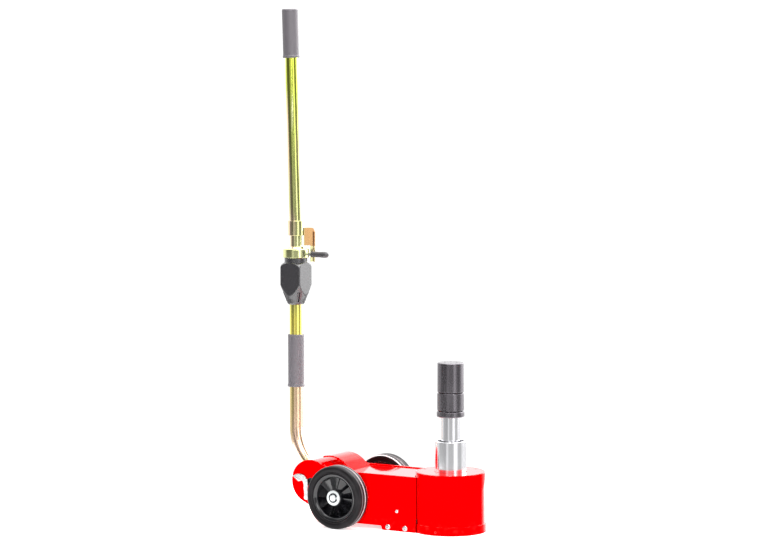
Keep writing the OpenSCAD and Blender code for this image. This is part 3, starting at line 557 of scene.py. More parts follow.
def packed_copy(node):
    """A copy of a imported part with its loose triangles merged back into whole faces."""
    shape = bmesh.new()
    shape.from_mesh(frame["nodes"][node].data)
    bmesh.ops.scale(shape, vec=(1 / MM, 1 / MM, 1 / MM), verts=shape.verts)
    bmesh.ops.remove_doubles(shape, verts=shape.verts, dist=0.002)
    bmesh.ops.dissolve_limit(shape, angle_limit=radians(0.8), verts=shape.verts, edges=shape.edges)
    return shape


# %% [markdown]
# ## Turning
# Most of a jack is made on a lathe, and `spin` is the lathe: it carries an outline round an axis.
# Each corner of an outline is a radius and a height, with a third number where it is rounded. The
# rounding is done on the outline, before it is spun, so it costs almost nothing.

# %% Turn an outline
LATHE_STEPS = 96
ALONG_Y = Matrix.Rotation(radians(-90), 3, "X")
ALONG_X = Matrix.Rotation(radians(90), 3, "Y")


def face_out(shape):
    bmesh.ops.recalc_face_normals(shape, faces=shape.faces)


def rotated(shape, matrix):
    bmesh.ops.rotate(shape, cent=(0, 0, 0), matrix=matrix, verts=shape.verts)


def only(items, kind):
    return [item for item in items if isinstance(item, kind)]


def turned(outline, closed=False, steps=LATHE_STEPS, segments=3):
    """A solid of revolution about the vertical axis from corners of (radius, height, rounding)."""
    shape = bmesh.new()
    mark = shape.verts.layers.float.new("edge")
    corners = [shape.verts.new((corner[0], 0, corner[1])) for corner in outline]
    for first, second in zip(corners, corners[1:]):
        shape.edges.new((first, second))
    if closed:
        shape.edges.new((corners[-1], corners[0]))
    for vert, corner in zip(corners, outline):
        if len(corner) == 3:
            place = vert.co.copy()
            arc = bmesh.ops.bevel(
                shape, geom=[vert], offset=corner[2], offset_type="OFFSET", affect="VERTICES",
                segments=segments, profile=0.5, material=-1,
            )["verts"]
            arc.sort(key=lambda point: (point.co - place).length)
            for point in arc[:-2]:
                point[mark] = 1.0
    bmesh.ops.spin(
        shape, geom=shape.verts[:] + shape.edges[:], cent=(0, 0, 0), axis=(0, 0, 1),
        angle=tau, steps=steps, use_merge=True, use_duplicate=False,
    )
    bmesh.ops.remove_doubles(shape, verts=shape.verts, dist=0.0005)
    face_out(shape)
    return shape


def moved(shape, x=0, y=0, z=0):
    bmesh.ops.translate(shape, vec=(x, y, z), verts=shape.verts)
    return shape


def turned_y(outline, x, z, side=1, **options):
    """A solid of revolution about a line along Y; its outline gives the distance out on one side."""
    placed = [(corner[0], side * corner[1], *corner[2:]) for corner in outline]
    shape = turned(placed, **options)
    rotated(shape, ALONG_Y)
    return moved(shape, x=x, z=z)


def joined(*shapes):
    """Several shapes as one."""
    whole = shapes[0]
    for shape in shapes[1:]:
        part = bpy.data.meshes.new("part")
        shape.to_mesh(part)
        shape.free()
        whole.from_mesh(part)
        bpy.data.meshes.remove(part)
    return whole


# %% [markdown]
# ## The ram housing
# The housing is a heavy casting: a drum with a foot lip, slightly wider below so that it leaves
# its mould, and hollow for oil. A round lid with three sunk screws closes it.

# %% Housing and lid
housing_high = box_mm("ram_housing")[1]
lid_low, lid_high = box_mm("housing_cover")
sleeve_low, sleeve_high = box_mm("pressure_sleeve")
ram_low, ram_high = box_mm("first_ram")
lip_r = housing_high.x
housing_top = housing_high.z
LIP_H = 22
LIP_W = 3
DRAFT = 1.5
wall_r = lip_r - LIP_W - DRAFT
cavity_r = lid_high.x - 3
FLOOR_TOP = 24

housing = turned(
    [
        (0, 0), (lip_r, 0, 1.2), (lip_r, LIP_H, 1.5), (lip_r - LIP_W, LIP_H, 0.8),
        (wall_r, housing_top, 2.2), (lid_high.x, housing_top, 0.4), (lid_high.x, lid_low.z),
        (cavity_r, lid_low.z), (cavity_r, FLOOR_TOP), (sleeve_high.x, FLOOR_TOP),
        (sleeve_high.x, sleeve_low.z), (0, sleeve_low.z),
    ],
    steps=160,
)
LUG_LOW = Vector((-56, 60, 0))
LUG_HIGH = Vector((-40, 76.5, LIP_H))


def foot_lug(side):
    """A block of the foot that fills the corner in front of a side plate."""
    shape = bmesh.new()
    bmesh.ops.create_cube(shape, size=1)
    bmesh.ops.scale(shape, vec=LUG_HIGH - LUG_LOW, verts=shape.verts)
    middle = (LUG_LOW + LUG_HIGH) / 2
    round_creases(shape, 1.0, segments=3)
    return moved(shape, x=middle.x, y=side * middle.y, z=middle.z)


finish_piece("housing_shell", joined(housing, foot_lug(-1), foot_lug(1)), "ram_housing")

# %% Drain plug in the foot lip
PLUG_R = 3.2
PLUG_TURN = radians(-84.5)
PLUG_Z = 8.5
plug = turned(
    [
        (0, -6), (PLUG_R, -6), (PLUG_R, 0.3, 0.5), (PLUG_R - 1.0, 0.3, 0.2), (PLUG_R - 1.4, -1.2),
        (0, -1.2),
    ],
    steps=32,
)
rotated(plug, ALONG_X)
moved(plug, x=lip_r, z=PLUG_Z)
rotated(plug, Matrix.Rotation(PLUG_TURN, 3, "Z"))
dress("drain_plug", plug, "seal_rubber", body_of["ram_housing"])

first_r = 39.45
lid_bore = first_r + 0.8
wiper_r = first_r + 4.5
lid = turned(
    [
        (lid_bore, housing_top, 0.8), (lid_bore, lid_low.z + 5), (wiper_r, lid_low.z + 5),
        (wiper_r, lid_low.z), (lid_high.x - 0.1, lid_low.z), (lid_high.x - 0.1, housing_top, 0.8),
    ],
    closed=True,
    steps=160,
)
finish_piece("housing_lid", lid, "housing_cover")

# %% [markdown]
# ## The two rams
# Each ram is a hard-chromed tube that slides in the one below. The bare metal shows long vertical
# reflections, so what matters is a true cylinder with a crisp chamfer at its mouth.

# %% Rams
gland_low, gland_high = box_mm("inner_gland")
rod_low, rod_high = box_mm("second_ram")
SPIGOT_HOLE_R = 15
SPIGOT_HOLE_H = 24
SECOND_R = 24.3
tube_bore = rod_high.x + 0.05
first_ram = turned(
    [
        (0, ram_low.z), (ram_high.x, ram_low.z, 0.5), (ram_high.x, ram_low.z + 28, 0.5),
        (first_r, ram_low.z + 28), (first_r, ram_high.z, 1.2), (gland_high.x, ram_high.z, 0.6),
        (gland_high.x, gland_low.z), (tube_bore, gland_low.z), (tube_bore, ram_low.z + 10),
        (0, ram_low.z + 10),
    ],
    steps=160,
)
finish_piece("first_stage_tube", first_ram, "first_ram")

second_ram = turned(
    [
        (0, rod_low.z), (rod_high.x, rod_low.z, 0.5), (rod_high.x, rod_low.z + 18, 0.5),
        (SECOND_R, rod_low.z + 18), (SECOND_R, rod_high.z, 0.4), (SPIGOT_HOLE_R, rod_high.z, 0.6),
        (SPIGOT_HOLE_R, rod_high.z - SPIGOT_HOLE_H), (0, rod_high.z - SPIGOT_HOLE_H),
    ],
    steps=128,
)
finish_piece("second_stage_rod", second_ram, "second_ram")

# %% [markdown]
# ## Saddle ring and extensions
# A blackened ring is shrunk on the rod's end, and the extensions drop into its bore by their
# spigots. Their chamfered ends meet in dark grooves.

# %% Saddle ring and lower extension
saddle_low, saddle_high = box_mm("saddle_ring")
GROOVE_D = 3
saddle = turned(
    [
        (SECOND_R, saddle_low.z), (saddle_high.x, saddle_low.z, 1.8),
        (saddle_high.x, saddle_high.z - 2, 0.4), (saddle_high.x - GROOVE_D, saddle_high.z, 0.2),
        (SECOND_R, saddle_high.z),
    ],
    closed=True,
)
finish_piece("saddle", saddle, "saddle_ring")

lower_low, lower_high = box_mm("lower_extension")
lower_r = lower_high.x
SPIGOT_R = 14.8
lower_extension = turned(
    [
        (0, lower_low.z), (SPIGOT_R, lower_low.z, 1.0), (SPIGOT_R, saddle_high.z, 0.3),
        (lower_r - GROOVE_D, saddle_high.z, 0.2), (lower_r, saddle_high.z + 2, 0.4),
        (lower_r, lower_high.z - 2, 0.4), (lower_r - GROOVE_D, lower_high.z, 0.2),
        (SPIGOT_HOLE_R, lower_high.z, 0.6), (SPIGOT_HOLE_R, lower_high.z - SPIGOT_HOLE_H),
        (0, lower_high.z - SPIGOT_HOLE_H),
    ]
)
finish_piece("extension_low", lower_extension, "lower_extension")
finish_piece("extension_high", round_creases(packed_copy("upper_extension"), 0.35), "upper_extension")

# %% [markdown]
# ## Plates of the chassis
# The chassis is cut from flat plate and welded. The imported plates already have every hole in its
# place, so a copy of each is merged into whole faces and has its edges rounded.

# %% Chassis plates
PLATE_EDGE = 0.7
for plate in ("near_side_plate", "far_side_plate", "deck_plate", "rear_apron", "hinge_cover"):
    finish_piece(plate + "_rounded", round_creases(packed_copy(plate), PLATE_EDGE), plate)

# %% Smaller parts that are copied the same way
SMALL_EDGE = 0.3
for part in (
    "pump_block", "motor_cylinder", "motor_cap", "air_swivel", "air_pipe", "hinge_shaft",
    "pawl_stud", "handle_drum", "inlet_bush", "lever_pin", "cover_screws",
):
    finish_piece(part + "_rounded", round_creases(packed_copy(part), SMALL_EDGE), part)

# %% [markdown]
# ## Button-headed screws
# The chassis is bolted with button-headed screws that take a hexagon key. The dome is turned, and
# its open crown is bridged to a ring of six points, which is then pushed down as the socket.


# %% A button-headed screw
def button_screw(x, z, side, face, head_r, head_h, shank_r, length):
    """A screw along Y with its head outside the face of the chassis, on one side."""
    crown_r = 0.62 * head_r
    key_r = 0.40 * head_r
    shape = turned(
        [
            (0, -length), (shank_r, -length, 0.4), (shank_r, 0), (head_r, 0, 0.2),
            (head_r, 0.35 * head_h, 0.5), (0.88 * head_r, 0.75 * head_h, 0.8), (crown_r, head_h, 0.3),
        ],
        steps=48,
    )
    rim = [edge for edge in shape.edges if len(edge.link_faces) == 1]
    hexagon = bmesh.ops.create_circle(shape, cap_ends=False, radius=key_r, segments=6)["verts"]
    bmesh.ops.translate(shape, vec=(0, 0, head_h), verts=hexagon)
    key_ring = [edge for edge in shape.edges if not edge.link_faces]
    bmesh.ops.bridge_loops(shape, edges=rim + key_ring)
    key_ring = [edge for edge in shape.edges if len(edge.link_faces) == 1]
    deeper = bmesh.ops.extrude_edge_only(shape, edges=key_ring)["geom"]
    low_ring = only(deeper, bmesh.types.BMVert)
    bmesh.ops.translate(shape, vec=(0, 0, -0.7 * head_h), verts=low_ring)
    bmesh.ops.contextual_create(shape, geom=low_ring)
    face_out(shape)
    rotated(shape, ALONG_Y)
    if side < 0:
        rotated(shape, Matrix.Rotation(pi, 3, "Z"))
    return moved(shape, x=x, y=side * face, z=z)


# %% Screws of the chassis
bolt_low, bolt_high = box_mm("side_bolts")
screw_high = box_mm("motor_screws")[1]
plate_face = -box_mm("near_side_plate")[0].y
BOLT_HEAD_R = 7
SCREW_HEAD_R = 4.5
bolts = joined(*[
    button_screw(x, bolt_high.z - BOLT_HEAD_R, side, plate_face, BOLT_HEAD_R, bolt_high.y - plate_face, 4, 16)
    for x in (bolt_low.x + BOLT_HEAD_R, bolt_high.x - BOLT_HEAD_R)
    for side in (-1, 1)
])
finish_piece("chassis_bolts", bolts, "side_bolts")

screw_place = centre_mm("motor_screws")
screws = joined(*[
    button_screw(
        screw_place.x, screw_place.z, side, plate_face, SCREW_HEAD_R, screw_high.y - plate_face, 2.5, 10
    )
    for side in (-1, 1)
])
finish_piece("small_screws", screws, "motor_screws")

# %% [markdown]
# ## Wheels
# A solid rubber tyre is pressed on a nylon rim. The tread has two grooves round it, and the side
# wall swells a little between its bead and its shoulder.

# %% Tyre
tyre_low, tyre_high = box_mm("far_tyre")
wheel = centre_mm("far_tyre")
wheel_r = tyre_high.z - wheel.z
wheel_in, wheel_out = tyre_low.y, tyre_high.y
seat_r = wheel_r - 19
GROOVE_DEPTH = 2.4


def groove(y):
    """A rounded groove in the tread, centred at y."""
    return [
        (wheel_r, y - 1.9, 0.6), (wheel_r - GROOVE_DEPTH, y - 1.0, 0.6),
        (wheel_r - GROOVE_DEPTH, y + 1.0, 0.6), (wheel_r, y + 1.9, 0.6),
    ]


def side_wall(y, inwards):
    """Half of the tyre's outline: bead, swollen wall and shoulder on one side."""
    return [
        (seat_r, y + 3.0 * inwards, 0.3), (seat_r + 1.2, y + 0.6 * inwards, 0.6),
        (seat_r + 3.2, y + 0.6 * inwards, 0.6), (seat_r + 3.9, y + 1.5 * inwards, 0.4),
        (wheel_r - 9, y, 3.0), (wheel_r - 4.5, y + 0.5 * inwards, 1.6), (wheel_r, y + 4.5 * inwards, 3.2),
    ]


tread_middle = (wheel_in + wheel_out) / 2
tyre_outline = side_wall(wheel_in, 1)
tyre_outline += groove(tread_middle + GROOVES[0]) + groove(tread_middle + GROOVES[1])
tyre_outline += side_wall(wheel_out, -1)[::-1]
for name, side in (("near", -1), ("far", 1)):
    tyre = turned_y(tyre_outline, wheel.x, wheel.z, side, closed=True, steps=144)
    finish_piece(name + "_wheel_tyre", tyre, name + "_tyre")

# %% [markdown]
# The rim's ten blades are set like a turbine's: each leaves the top of one rib and slopes down to
# the foot of the next. One blade is a short edge spun through a tenth of a turn while it sinks,
# with its end lifted back up as the rib, and then the whole blade is spun round ten times.

# %% Rim
hub_r = 21
bush_r = box_mm("far_bush")[1].x - wheel.x
hub_out = box_mm("far_bush")[1].y
BLADES = 10
BLADE_TOP = wheel_out - 8
BLADE_SINK = 15
BLADE_STEPS = 6
dish_r = seat_r - 10.5


def turbine(steps=BLADE_STEPS):
    """The sloping blades between the hub and the dish, about the vertical axis."""
    shape = bmesh.new()
    inner = shape.verts.new((hub_r - 1.5, 0, BLADE_TOP))
    outer = shape.verts.new((dish_r + 1.5, 0, BLADE_TOP))
    start = shape.edges.new((inner, outer))
    swept = bmesh.ops.spin(
        shape, geom=[inner, outer, start], cent=(0, 0, 0), axis=(0, 0, 1), angle=tau / BLADES,
        dvec=(0, 0, -BLADE_SINK / steps), steps=steps, use_merge=False, use_duplicate=False,
    )
    foot = only(swept["geom_last"], bmesh.types.BMEdge)
    lifted = bmesh.ops.extrude_edge_only(shape, edges=foot)["geom"]
    rib_top = only(lifted, bmesh.types.BMVert)
    bmesh.ops.translate(shape, vec=(0, 0, BLADE_SINK), verts=rib_top)
    bmesh.ops.spin(
        shape, geom=shape.verts[:] + shape.edges[:] + shape.faces[:], cent=(0, 0, 0), axis=(0, 0, 1),
        angle=tau * (BLADES - 1) / BLADES, steps=BLADES - 1, use_merge=False, use_duplicate=True,
    )
    bmesh.ops.remove_doubles(shape, verts=shape.verts, dist=0.01)
    face_out(shape)
    bmesh.ops.solidify(shape, geom=shape.faces[:], thickness=2.4)
    face_out(shape)
    return round_creases(shape, 0.35, segments=1, angle=40)


def wheel_rim(side):
    ring = turned(
        [
            (seat_r, wheel_in + 4, 0.4), (seat_r, wheel_out - 3, 0.4), (seat_r - 1.6, wheel_out - 1.4, 0.7),
            (seat_r - 4.5, wheel_out - 2.2, 1.2), (dish_r + 1.8, wheel_out - 5.2, 1.6),
            (dish_r, wheel_out - 8.5, 1.0), (dish_r, wheel_in + 12, 1), (seat_r - 5, wheel_in + 4, 0.6),
        ],
        closed=True, steps=120,
    )
    hub = turned(
        [
            (bush_r, wheel_in), (hub_r, wheel_in, 0.6), (hub_r, hub_out, 1.0), (bush_r, hub_out, 0.3),
        ],
        closed=True, steps=72,
    )
    shape = joined(ring, hub, turbine())
    if side < 0:
        bmesh.ops.scale(shape, vec=(1, 1, -1), verts=shape.verts)
        bmesh.ops.reverse_faces(shape, faces=shape.faces)
    rotated(shape, ALONG_Y)
    return moved(shape, x=wheel.x, z=wheel.z)


for name, side in (("near", -1), ("far", 1)):
    finish_piece(name + "_wheel_rim", wheel_rim(side), name + "_rim")

# %% [markdown]
# The axle carries a zinc washer outside each wheel, held by an open ring that springs into a
# groove. The ring's gap faces forwards.

# %% Axle, washers and spacers
axle_high = box_mm("axle")[1]
washer_high = box_mm("axle_washers")[1]
clip_high = box_mm("axle_circlips")[1]
AXLE_R = 10
axle_end_r = AXLE_R - 1.5
groove_r = axle_end_r - 0.8
WASHER_T = 2
CLIP_T = 1.3
step_y = washer_high.y - WASHER_T
clip_y = clip_high.y - CLIP_T
half_axle = [
    (AXLE_R, step_y), (axle_end_r, step_y), (axle_end_r, clip_y), (groove_r, clip_y),
    (groove_r, clip_high.y), (axle_end_r, clip_high.y), (axle_end_r, axle_high.y, 1.0), (0, axle_high.y),
]
other_half = [(r, -y, *more) for r, y, *more in half_axle[::-1]]
axle = turned_y(other_half + half_axle, wheel.x, wheel.z, steps=72)
finish_piece("axle_rod", axle, "axle")

washer_r = washer_high.x - wheel.x
washers = joined(*[
    turned_y(
        [
            (axle_end_r, step_y, 0.2), (washer_r, step_y, 0.4), (washer_r, washer_high.y, 0.7),
            (axle_end_r, washer_high.y, 0.3),
        ],
        wheel.x, wheel.z, side, closed=True, steps=72,
    )
    for side in (-1, 1)
])
finish_piece("hub_washers", washers, "axle_washers")

spacer_high = box_mm("axle_spacers")[1]
spacer_r = spacer_high.x - wheel.x
spacers = joined(*[
    turned_y(
        [
            (AXLE_R, plate_face), (spacer_r, plate_face, 0.4), (spacer_r, spacer_high.y, 0.8),
            (AXLE_R, spacer_high.y),
        ],
        wheel.x, wheel.z, side, closed=True, steps=64,
    )
    for side in (-1, 1)
])
finish_piece("axle_tubes", spacers, "axle_spacers")


# %% A spring clip
def spring_clip(side):
    """An open ring of flat wire, with its gap towards +X."""
    gap = radians(34)
    shape = bmesh.new()
    clip_r = clip_high.z - wheel.z
    corners = [(groove_r, clip_y), (clip_r, clip_y), (clip_r, clip_high.y), (groove_r, clip_high.y)]
    verts = [shape.verts.new((r * cos(gap / 2), r * sin(gap / 2), side * y)) for r, y in corners]
    section = shape.faces.new(verts)
    bmesh.ops.spin(
        shape, geom=[section], cent=(0, 0, 0), axis=(0, 0, 1), angle=tau - gap, steps=56,
        use_merge=False, use_duplicate=False,
    )
    face_out(shape)
    round_creases(shape, 0.2, segments=1, angle=40)
    rotated(shape, ALONG_Y)
    return moved(shape, x=wheel.x, z=wheel.z)


finish_piece("spring_clips", joined(spring_clip(-1), spring_clip(1)), "axle_circlips")

# %% [markdown]
# ## The lock pawl
# The pawl is a pressed steel lever that a foot can push. Its outline is drawn with straight runs,
# and rounding every corner of it turns it into the flowing shape of a forging.

# %% Pawl
pawl_high = box_mm("lock_pawl")[1]
stud = centre_mm("pawl_stud")
PAWL_T = 5
HEAD_X, HEAD_Z = -25, 48
pawl = bmesh.new()
pawl_outline = [
    (-43.5, 51.5, 1), (-34, 55.5, 8), (-23, 58.5, 9), (-11, 56, 9), (-2, 48.5, 8), (2.5, 41, 6),
    (3, 30, 6), (1.5, 18, 8), (5.5, 4, 8), (5, -5, 5), (-4, -6.5, 5), (-7.5, 2, 5), (-8, 13, 6),
    (-10, 22, 6), (-9.5, 32, 6), (-13.5, 41.5, 4), (-18, 40.5, 4), (-25.5, 38, 5), (-34, 45.5, 7),
]
verts = [pawl.verts.new((stud.x + x, -plate_face - 2, stud.z + z)) for x, z, _ in pawl_outline]
pawl.faces.new(verts)
for vert, (_, _, rounding) in zip(verts, pawl_outline):
    bmesh.ops.bevel(
        pawl, geom=[vert], offset=rounding / 2, offset_type="OFFSET", affect="VERTICES",
        segments=4, profile=0.5, material=-1,
    )
lifted = bmesh.ops.extrude_face_region(pawl, geom=pawl.faces[:])["geom"]
outside = only(lifted, bmesh.types.BMVert)
bmesh.ops.translate(pawl, vec=(0, -PAWL_T, 0), verts=outside)
face_out(pawl)
round_creases(pawl, 1.1, segments=3, angle=50)
dog = turned_y(
    [(0, plate_face + 3), (4, plate_face + 3), (4, -pawl_high.y, 0.8), (0, -pawl_high.y)],
    stud.x + HEAD_X, stud.z + HEAD_Z, side=-1, steps=32,
)
finish_piece("pawl_lever", joined(pawl, dog), "lock_pawl")

# %% [markdown]
# ## The handle tube
# The handle is one steel tube, bent once on a former. A circle stands for its section: it is drawn
# out straight, spun about the centre of the bend, and drawn up to the valve.

# %% Bent tube
tube_high = box_mm("lower_tube")[1]
neck = centre_mm("neck_tube")
TUBE_R = 16.5
TUBE_WALL = 2.5
BEND_Z = 232
BEND_R = 130
BEND = radians(45)
TAIL = 33
tube_x = neck.x


def drawn_out(shape, edges, step):
    """Draw an open ring of edges along a step, and return the new ring."""
    result = bmesh.ops.extrude_edge_only(shape, edges=edges)["geom"]
    verts = only(result, bmesh.types.BMVert)
    bmesh.ops.translate(shape, vec=step, verts=verts)
    return only(result, bmesh.types.BMEdge)


def bent_tube(radius, y, top):
    """A tube that rises from the drum, through the bend and up to a height."""
    shape = bmesh.new()
    bmesh.ops.create_circle(shape, cap_ends=False, radius=radius, segments=48)
    moved(shape, x=tube_x, y=y, z=top)
    ring = drawn_out(shape, shape.edges[:], (0, 0, BEND_Z - top))
    swept = bmesh.ops.spin(
        shape, geom=ring + list({v for edge in ring for v in edge.verts}),
        cent=(tube_x + BEND_R, y, BEND_Z), axis=(0, -1, 0), angle=BEND, steps=28,
        use_merge=False, use_duplicate=False,
    )
    ring = only(swept["geom_last"], bmesh.types.BMEdge)
    drawn_out(shape, ring, (TAIL * sin(BEND), 0, -TAIL * cos(BEND)))
    face_out(shape)
    bmesh.ops.solidify(shape, geom=shape.faces[:], thickness=TUBE_WALL)
    face_out(shape)
    return shape


finish_piece("handle_tube", bent_tube(TUBE_R, 0, tube_high.z), "lower_tube")

# %% [markdown]
# ## Grips
# Each grip is a moulded rubber sleeve with a thicker rim at both ends. It is turned, and leans
# with the tube that it sits on.


# %% Grip outlines
def grip_outline(low, high, inner, outer, rim, domed):
    top = [(outer + 0.2, high - 6, 1.5), (outer + 0.5, high - 4, 1), (outer - 0.4, high, 1.6)]
    top += [(0, high)] if domed else [(inner, high, 0.3)]
    foot = [(inner, low, 0.3), (rim, low, 1.2), (rim, low + 4.5, 1.2), (outer, low + 7, 1.5)]
    return foot + top


def leaned(shape, low_z, angle):
    """Lean a shape back about a point on the tube's axis."""
    place = (tube_x, 0, low_z)
    bmesh.ops.rotate(shape, cent=place, matrix=Matrix.Rotation(-angle, 3, "Y"), verts=shape.verts)
    return shape


grip_low, grip_high = box_mm("lower_grip")
grip_r = (grip_high.y - grip_low.y) / 2
lower_grip = turned(
    grip_outline(grip_low.z, grip_high.z, TUBE_R, grip_r - 1.2, grip_r, False), closed=True, steps=72
)
finish_piece("grip_low", moved(lower_grip, x=tube_x), "lower_grip")

# %% [markdown]
# ## The upper tube
# The upper tube is clamped in a short sleeve and leans back a little. The lean is worked out from
# where the top of the tube is against its foot.

# %% Sleeve, upper tube and top grip
upper_low, upper_high = box_mm("upper_tube")
top_low, top_high = box_mm("top_grip")
joint_low, joint_high = box_mm("handle_sleeve")
UPPER_R = TUBE_R - 0.25
foot_z = upper_low.z + 0.5
upper_length = upper_high.z - foot_z
lean = atan2(tube_x - UPPER_R - upper_low.x, upper_length)
print("upper tube leans", round(degrees(lean), 2), "degrees")
upper_tube = turned(
    [
        (UPPER_R, foot_z), (UPPER_R, upper_high.z - 1), (UPPER_R - TUBE_WALL, upper_high.z - 1),
        (UPPER_R - TUBE_WALL, foot_z),
    ],
    closed=True, steps=64,
)
finish_piece("tube_high", leaned(moved(upper_tube, x=tube_x), foot_z, lean), "upper_tube")

top_grip_r = (top_high.y - top_low.y) / 2
top_grip = turned(
    grip_outline(top_low.z + 0.5, top_high.z - 0.7, UPPER_R, top_grip_r - 1.2, top_grip_r, True), steps=72
)
finish_piece("grip_high", leaned(moved(top_grip, x=tube_x), foot_z, lean), "top_grip")

sleeve_r = (joint_high.y - joint_low.y) / 2
clamp_sleeve = turned(
    [
        (UPPER_R - 0.6, joint_low.z, 0.3), (sleeve_r, joint_low.z, 1.0), (sleeve_r, joint_high.z, 1.2),
        (UPPER_R + 0.7, joint_high.z, 0.4),
    ],
    closed=True, steps=72,
)
finish_piece("clamp_sleeve", moved(clamp_sleeve, x=tube_x), "handle_sleeve")

# %% [markdown]
# ## The valve housing
# The air valve sits in a square body with waisted ends. A turned blank is pressed flat on four
# sides: every point outside the square is moved in to its face. That leaves the curved tops of
# the faces, and the blank stays one closed skin. Beside the foot of each corner is a moulded
# slot with a thin rib.

# %% Valve housing
valve_low, valve_high = box_mm("valve_housing")
valve_half = (valve_high.y - valve_low.y) / 2
valve_h = valve_high.z - valve_low.z
corner_r = valve_half * sqrt(2) - 1.6


def height(share):
    return valve_low.z + share * valve_h


def rows(first, second, count):
    """Corners between two corners, so that the flats have points to follow."""
    return [
        (first[0] + (second[0] - first[0]) * i / count, first[1] + (second[1] - first[1]) * i / count)
        for i in range(1, count)
    ]


knees = [
    (TUBE_R + 3, height(0)), (TUBE_R + 5.5, height(0.025)), (TUBE_R + 9.0, height(0.12)),
    (corner_r, height(0.42)), (corner_r, height(0.80)), (corner_r - 2.5, height(0.845)),
    (corner_r - 8, height(0.88)), (valve_half - 0.75, height(0.90)), (valve_half - 0.75, height(1) - 1),
    (valve_half - 1.75, height(1)),
]
valve_outline = [(TUBE_R, height(0)), knees[0]]
for first, second in zip(knees, knees[1:]):
    valve_outline += rows(first, second, max(2, round((second[1] - first[1]) / 2))) + [second]
valve_outline += [(TUBE_R - 1.2, height(1)), (TUBE_R - 1.2, height(0.5)), (TUBE_R, height(0.5))]
valve = turned(valve_outline, closed=True, steps=240)
SLOT_LOW, SLOT_HIGH = height(0.07), height(0.27)
for vert in valve.verts:
    around = degrees(atan2(vert.co.y, vert.co.x)) % 90 - 45
    outside = vert.co.xy.length > TUBE_R + 2
    vert.co.x = max(-valve_half, min(valve_half, vert.co.x))
    vert.co.y = max(-valve_half, min(valve_half, vert.co.y))
    if outside and SLOT_LOW < vert.co.z < SLOT_HIGH:
        if 1 < around < 7:
            vert.co.xy *= 1 - 4.5 / vert.co.xy.length
        elif -7 < around < -1:
            vert.co.xy *= 1 + 1.0 / vert.co.xy.length
face_out(valve)
finish_piece("valve_body", moved(valve, x=tube_x), "valve_housing")

neck_low, neck_high = box_mm("neck_tube")
neck_r = (neck_high.y - neck_low.y) / 2
neck_tube = turned(
    [
        (neck_r, neck_low.z), (neck_r, neck_high.z), (neck_r - TUBE_WALL, neck_high.z),
        (neck_r - TUBE_WALL, neck_low.z),
    ],
    closed=True, steps=64,
)
finish_piece("valve_neck", moved(neck_tube, x=tube_x), "neck_tube")

# %% [markdown]
# ## Control ring, lever and guard
# The ring turns the valve. A short lever with a rubber sleeve stands out of it, and a bent plate
# beside it keeps it from being knocked.

# %% Ring
ring_low, ring_high = box_mm("control_ring")
ring_r = (ring_high.y - ring_low.y) / 2
ring_top = ring_high.z - 5
control_ring = turned(
    [
        (neck_r + 0.05, ring_low.z), (ring_r, ring_low.z, 1.0), (ring_r, ring_top - 1.5, 1.2),
        (ring_r - 2.5, ring_top, 0.8), (neck_r + 6, ring_top, 0.8), (neck_r + 2, ring_high.z, 0.8),
        (neck_r + 0.05, ring_high.z, 0.2),
    ],
    closed=True, steps=96,
)
finish_piece("turning_ring", moved(control_ring, x=tube_x), "control_ring")

# %% Lever
lever_low, lever_high = box_mm("lever_sleeve")
lever_r = (lever_high.y - lever_low.y) / 2
lever_length = lever_high.x - lever_low.x
PIN_R = 4
lever = turned(
    [
        (PIN_R, 0, 0.2), (lever_r - 0.2, 0, 1.2), (lever_r - 1.2, lever_length * 0.45, 6),
        (lever_r, lever_length - lever_r, 4), (lever_r * 0.75, lever_length - 2.2, 3),
        (lever_r * 0.3, lever_length, 1.5), (0, lever_length),
    ],
    steps=48,
)
rotated(lever, ALONG_X)
lever_z = centre_mm("lever_sleeve").z
finish_piece("lever_grip", moved(lever, x=lever_low.x, z=lever_z), "lever_sleeve")
finish_piece("guard_plate", round_creases(packed_copy("lever_guard"), 0.5), "lever_guard")

# %% [markdown]
# ## The studio
# The jack stands on a pale floor in a white room. Bright metal needs something to mirror, so the
# room has soft grey strips to the left, in front and to the right, and two bright walls between
# them, as a studio has its screens and lamps. The camera sees only the white.

# %% Camera
CAMERA_YAW = radians(30.83)
CAMERA_PITCH = radians(4.97)
CAMERA_DISTANCE = 8.096
AIM = Vector((-0.1873, -0.0130, 0.6411))
LENS = 151.23
towards_camera = Vector(
    (sin(CAMERA_YAW) * cos(CAMERA_PITCH), -cos(CAMERA_YAW) * cos(CAMERA_PITCH), sin(CAMERA_PITCH))
)
camera_data = bpy.data.cameras.new("camera")
camera_data.lens = LENS
camera_data.sensor_width = 36
camera = bpy.data.objects.new("camera", camera_data)
camera.location = AIM + CAMERA_DISTANCE * towards_camera
camera.rotation_euler = (radians(90) - CAMERA_PITCH, 0, CAMERA_YAW)
bpy.context.scene.collection.objects.link(camera)
bpy.context.scene.camera = camera
print("camera at", [round(v, 3) for v in camera.location])

# %% Room
world = bpy.data.worlds.new("studio")
bpy.context.scene.world = world
room = Finish(world)
direction = room.node("ShaderNodeTexCoord", output="Generated")
turned_room = room.node(
    "ShaderNodeVectorRotate", {"rotation_type": "Z_AXIS"}, {"Vector": direction, "Angle": -CAMERA_YAW}
)
across = room.along("X", turned_room)
away = room.along("Y", turned_room)
angle = across.maths("ARCTAN2", across, 0 - away) * (0.5 / pi) + 0.5

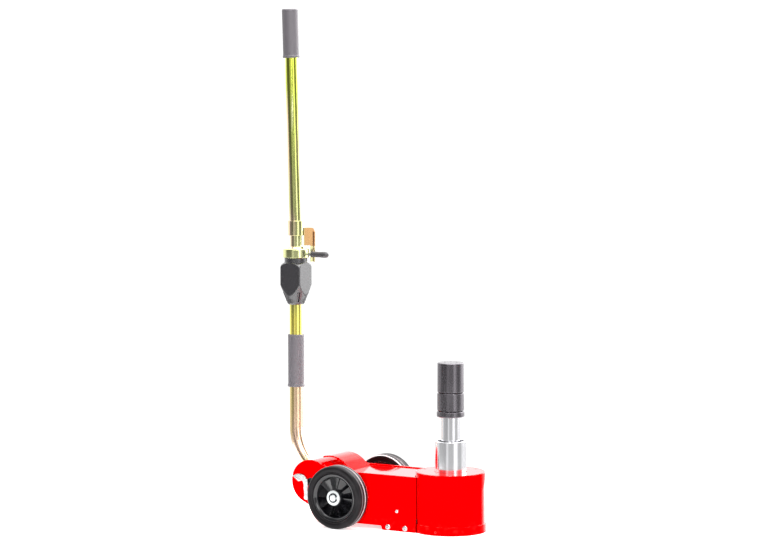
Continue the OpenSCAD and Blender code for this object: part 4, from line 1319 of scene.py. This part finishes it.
# Degrees right of the camera, and how bright the room is there above and below table height
WALLS = [
    (-180, 1.6, 1.0), (-110, 1.6, 0.75), (-94, 1.0, 0.7), (-89, 0.16, 0.5), (-36, 0.16, 0.42),
    (-31, 1.0, 0.75), (-20, 1.0, 0.75), (-15, 0.42, 0.53), (19, 0.42, 0.53), (24, 1.0, 1.05),
    (27, 1.0, 1.05), (30, 3.8, 1.05), (39, 3.8, 1.05), (42, 1.0, 1.05), (50, 1.0, 1.05),
    (55, 0.32, 0.56), (81, 0.32, 0.56), (86, 1.0, 0.8), (94, 1.0, 0.8), (100, 4.6, 0.8),
    (150, 4.6, 0.9), (165, 1.8, 1.0), (180, 1.6, 1.0),
]
TABLE_LINE = (0.095, 0.12)


def wall_ramp(column):
    stops = [(0.5 + row[0] / 360, (row[column], row[column], row[column])) for row in WALLS]
    return room.ramp(angle, stops)


height = room.along("Z", direction)
shade = room.mix(room.between(0 - height, *TABLE_LINE), wall_ramp(1), wall_ramp(2))
seen = room.node("ShaderNodeLightPath", output="Is Camera Ray")
colour = room.mix(seen, shade, (1, 1, 1))
background = world.node_tree.nodes["Background"]
room.feed(background.inputs["Color"], colour)
ceiling = room.between(height, 0.35, 0.85) * 0.6 + 1.05
room.feed(background.inputs["Strength"], ceiling + seen * (1.1 - ceiling))


# %% Lamps
def softbox(name, place, size, power):
    """A square lamp that faces the jack."""
    lamp = bpy.data.lights.new(name, "AREA")
    lamp.shape = "SQUARE"
    lamp.size = size
    lamp.energy = power
    holder = bpy.data.objects.new(name, lamp)
    holder.location = place
    aim = Vector((-0.2, 0, 0.3)) - Vector(place)
    holder.rotation_euler = aim.to_track_quat("-Z", "Y").to_euler()
    bpy.context.scene.collection.objects.link(holder)


softbox("overhead", (0.2, -0.6, 3.6), 3.0, 110)
softbox("front", (2.2, -4.2, 2.2), 2.0, 60)

# %% Floor
floor_shape = bmesh.new()
bmesh.ops.create_circle(floor_shape, cap_ends=True, radius=0.9, segments=96)
moved(floor_shape, x=-0.2)
floor_mesh = bpy.data.meshes.new("floor")
floor_shape.to_mesh(floor_mesh)
floor_shape.free()
floor = bpy.data.objects.new("floor", floor_mesh)
bpy.context.scene.collection.objects.link(floor)
pale = new_finish("floor")
pale.surface(
    Base_Color=(0.93, 0.93, 0.93, 1),
    Roughness=0.7,
    Specular_IOR_Level=0.2,
    Emission_Color=(1, 1, 1, 1),
    Emission_Strength=0.55,
)
floor_mesh.materials.append(pale.owner)

bpy.context.scene.view_settings.view_transform = "Standard"
bpy.context.scene.view_settings.look = "None"
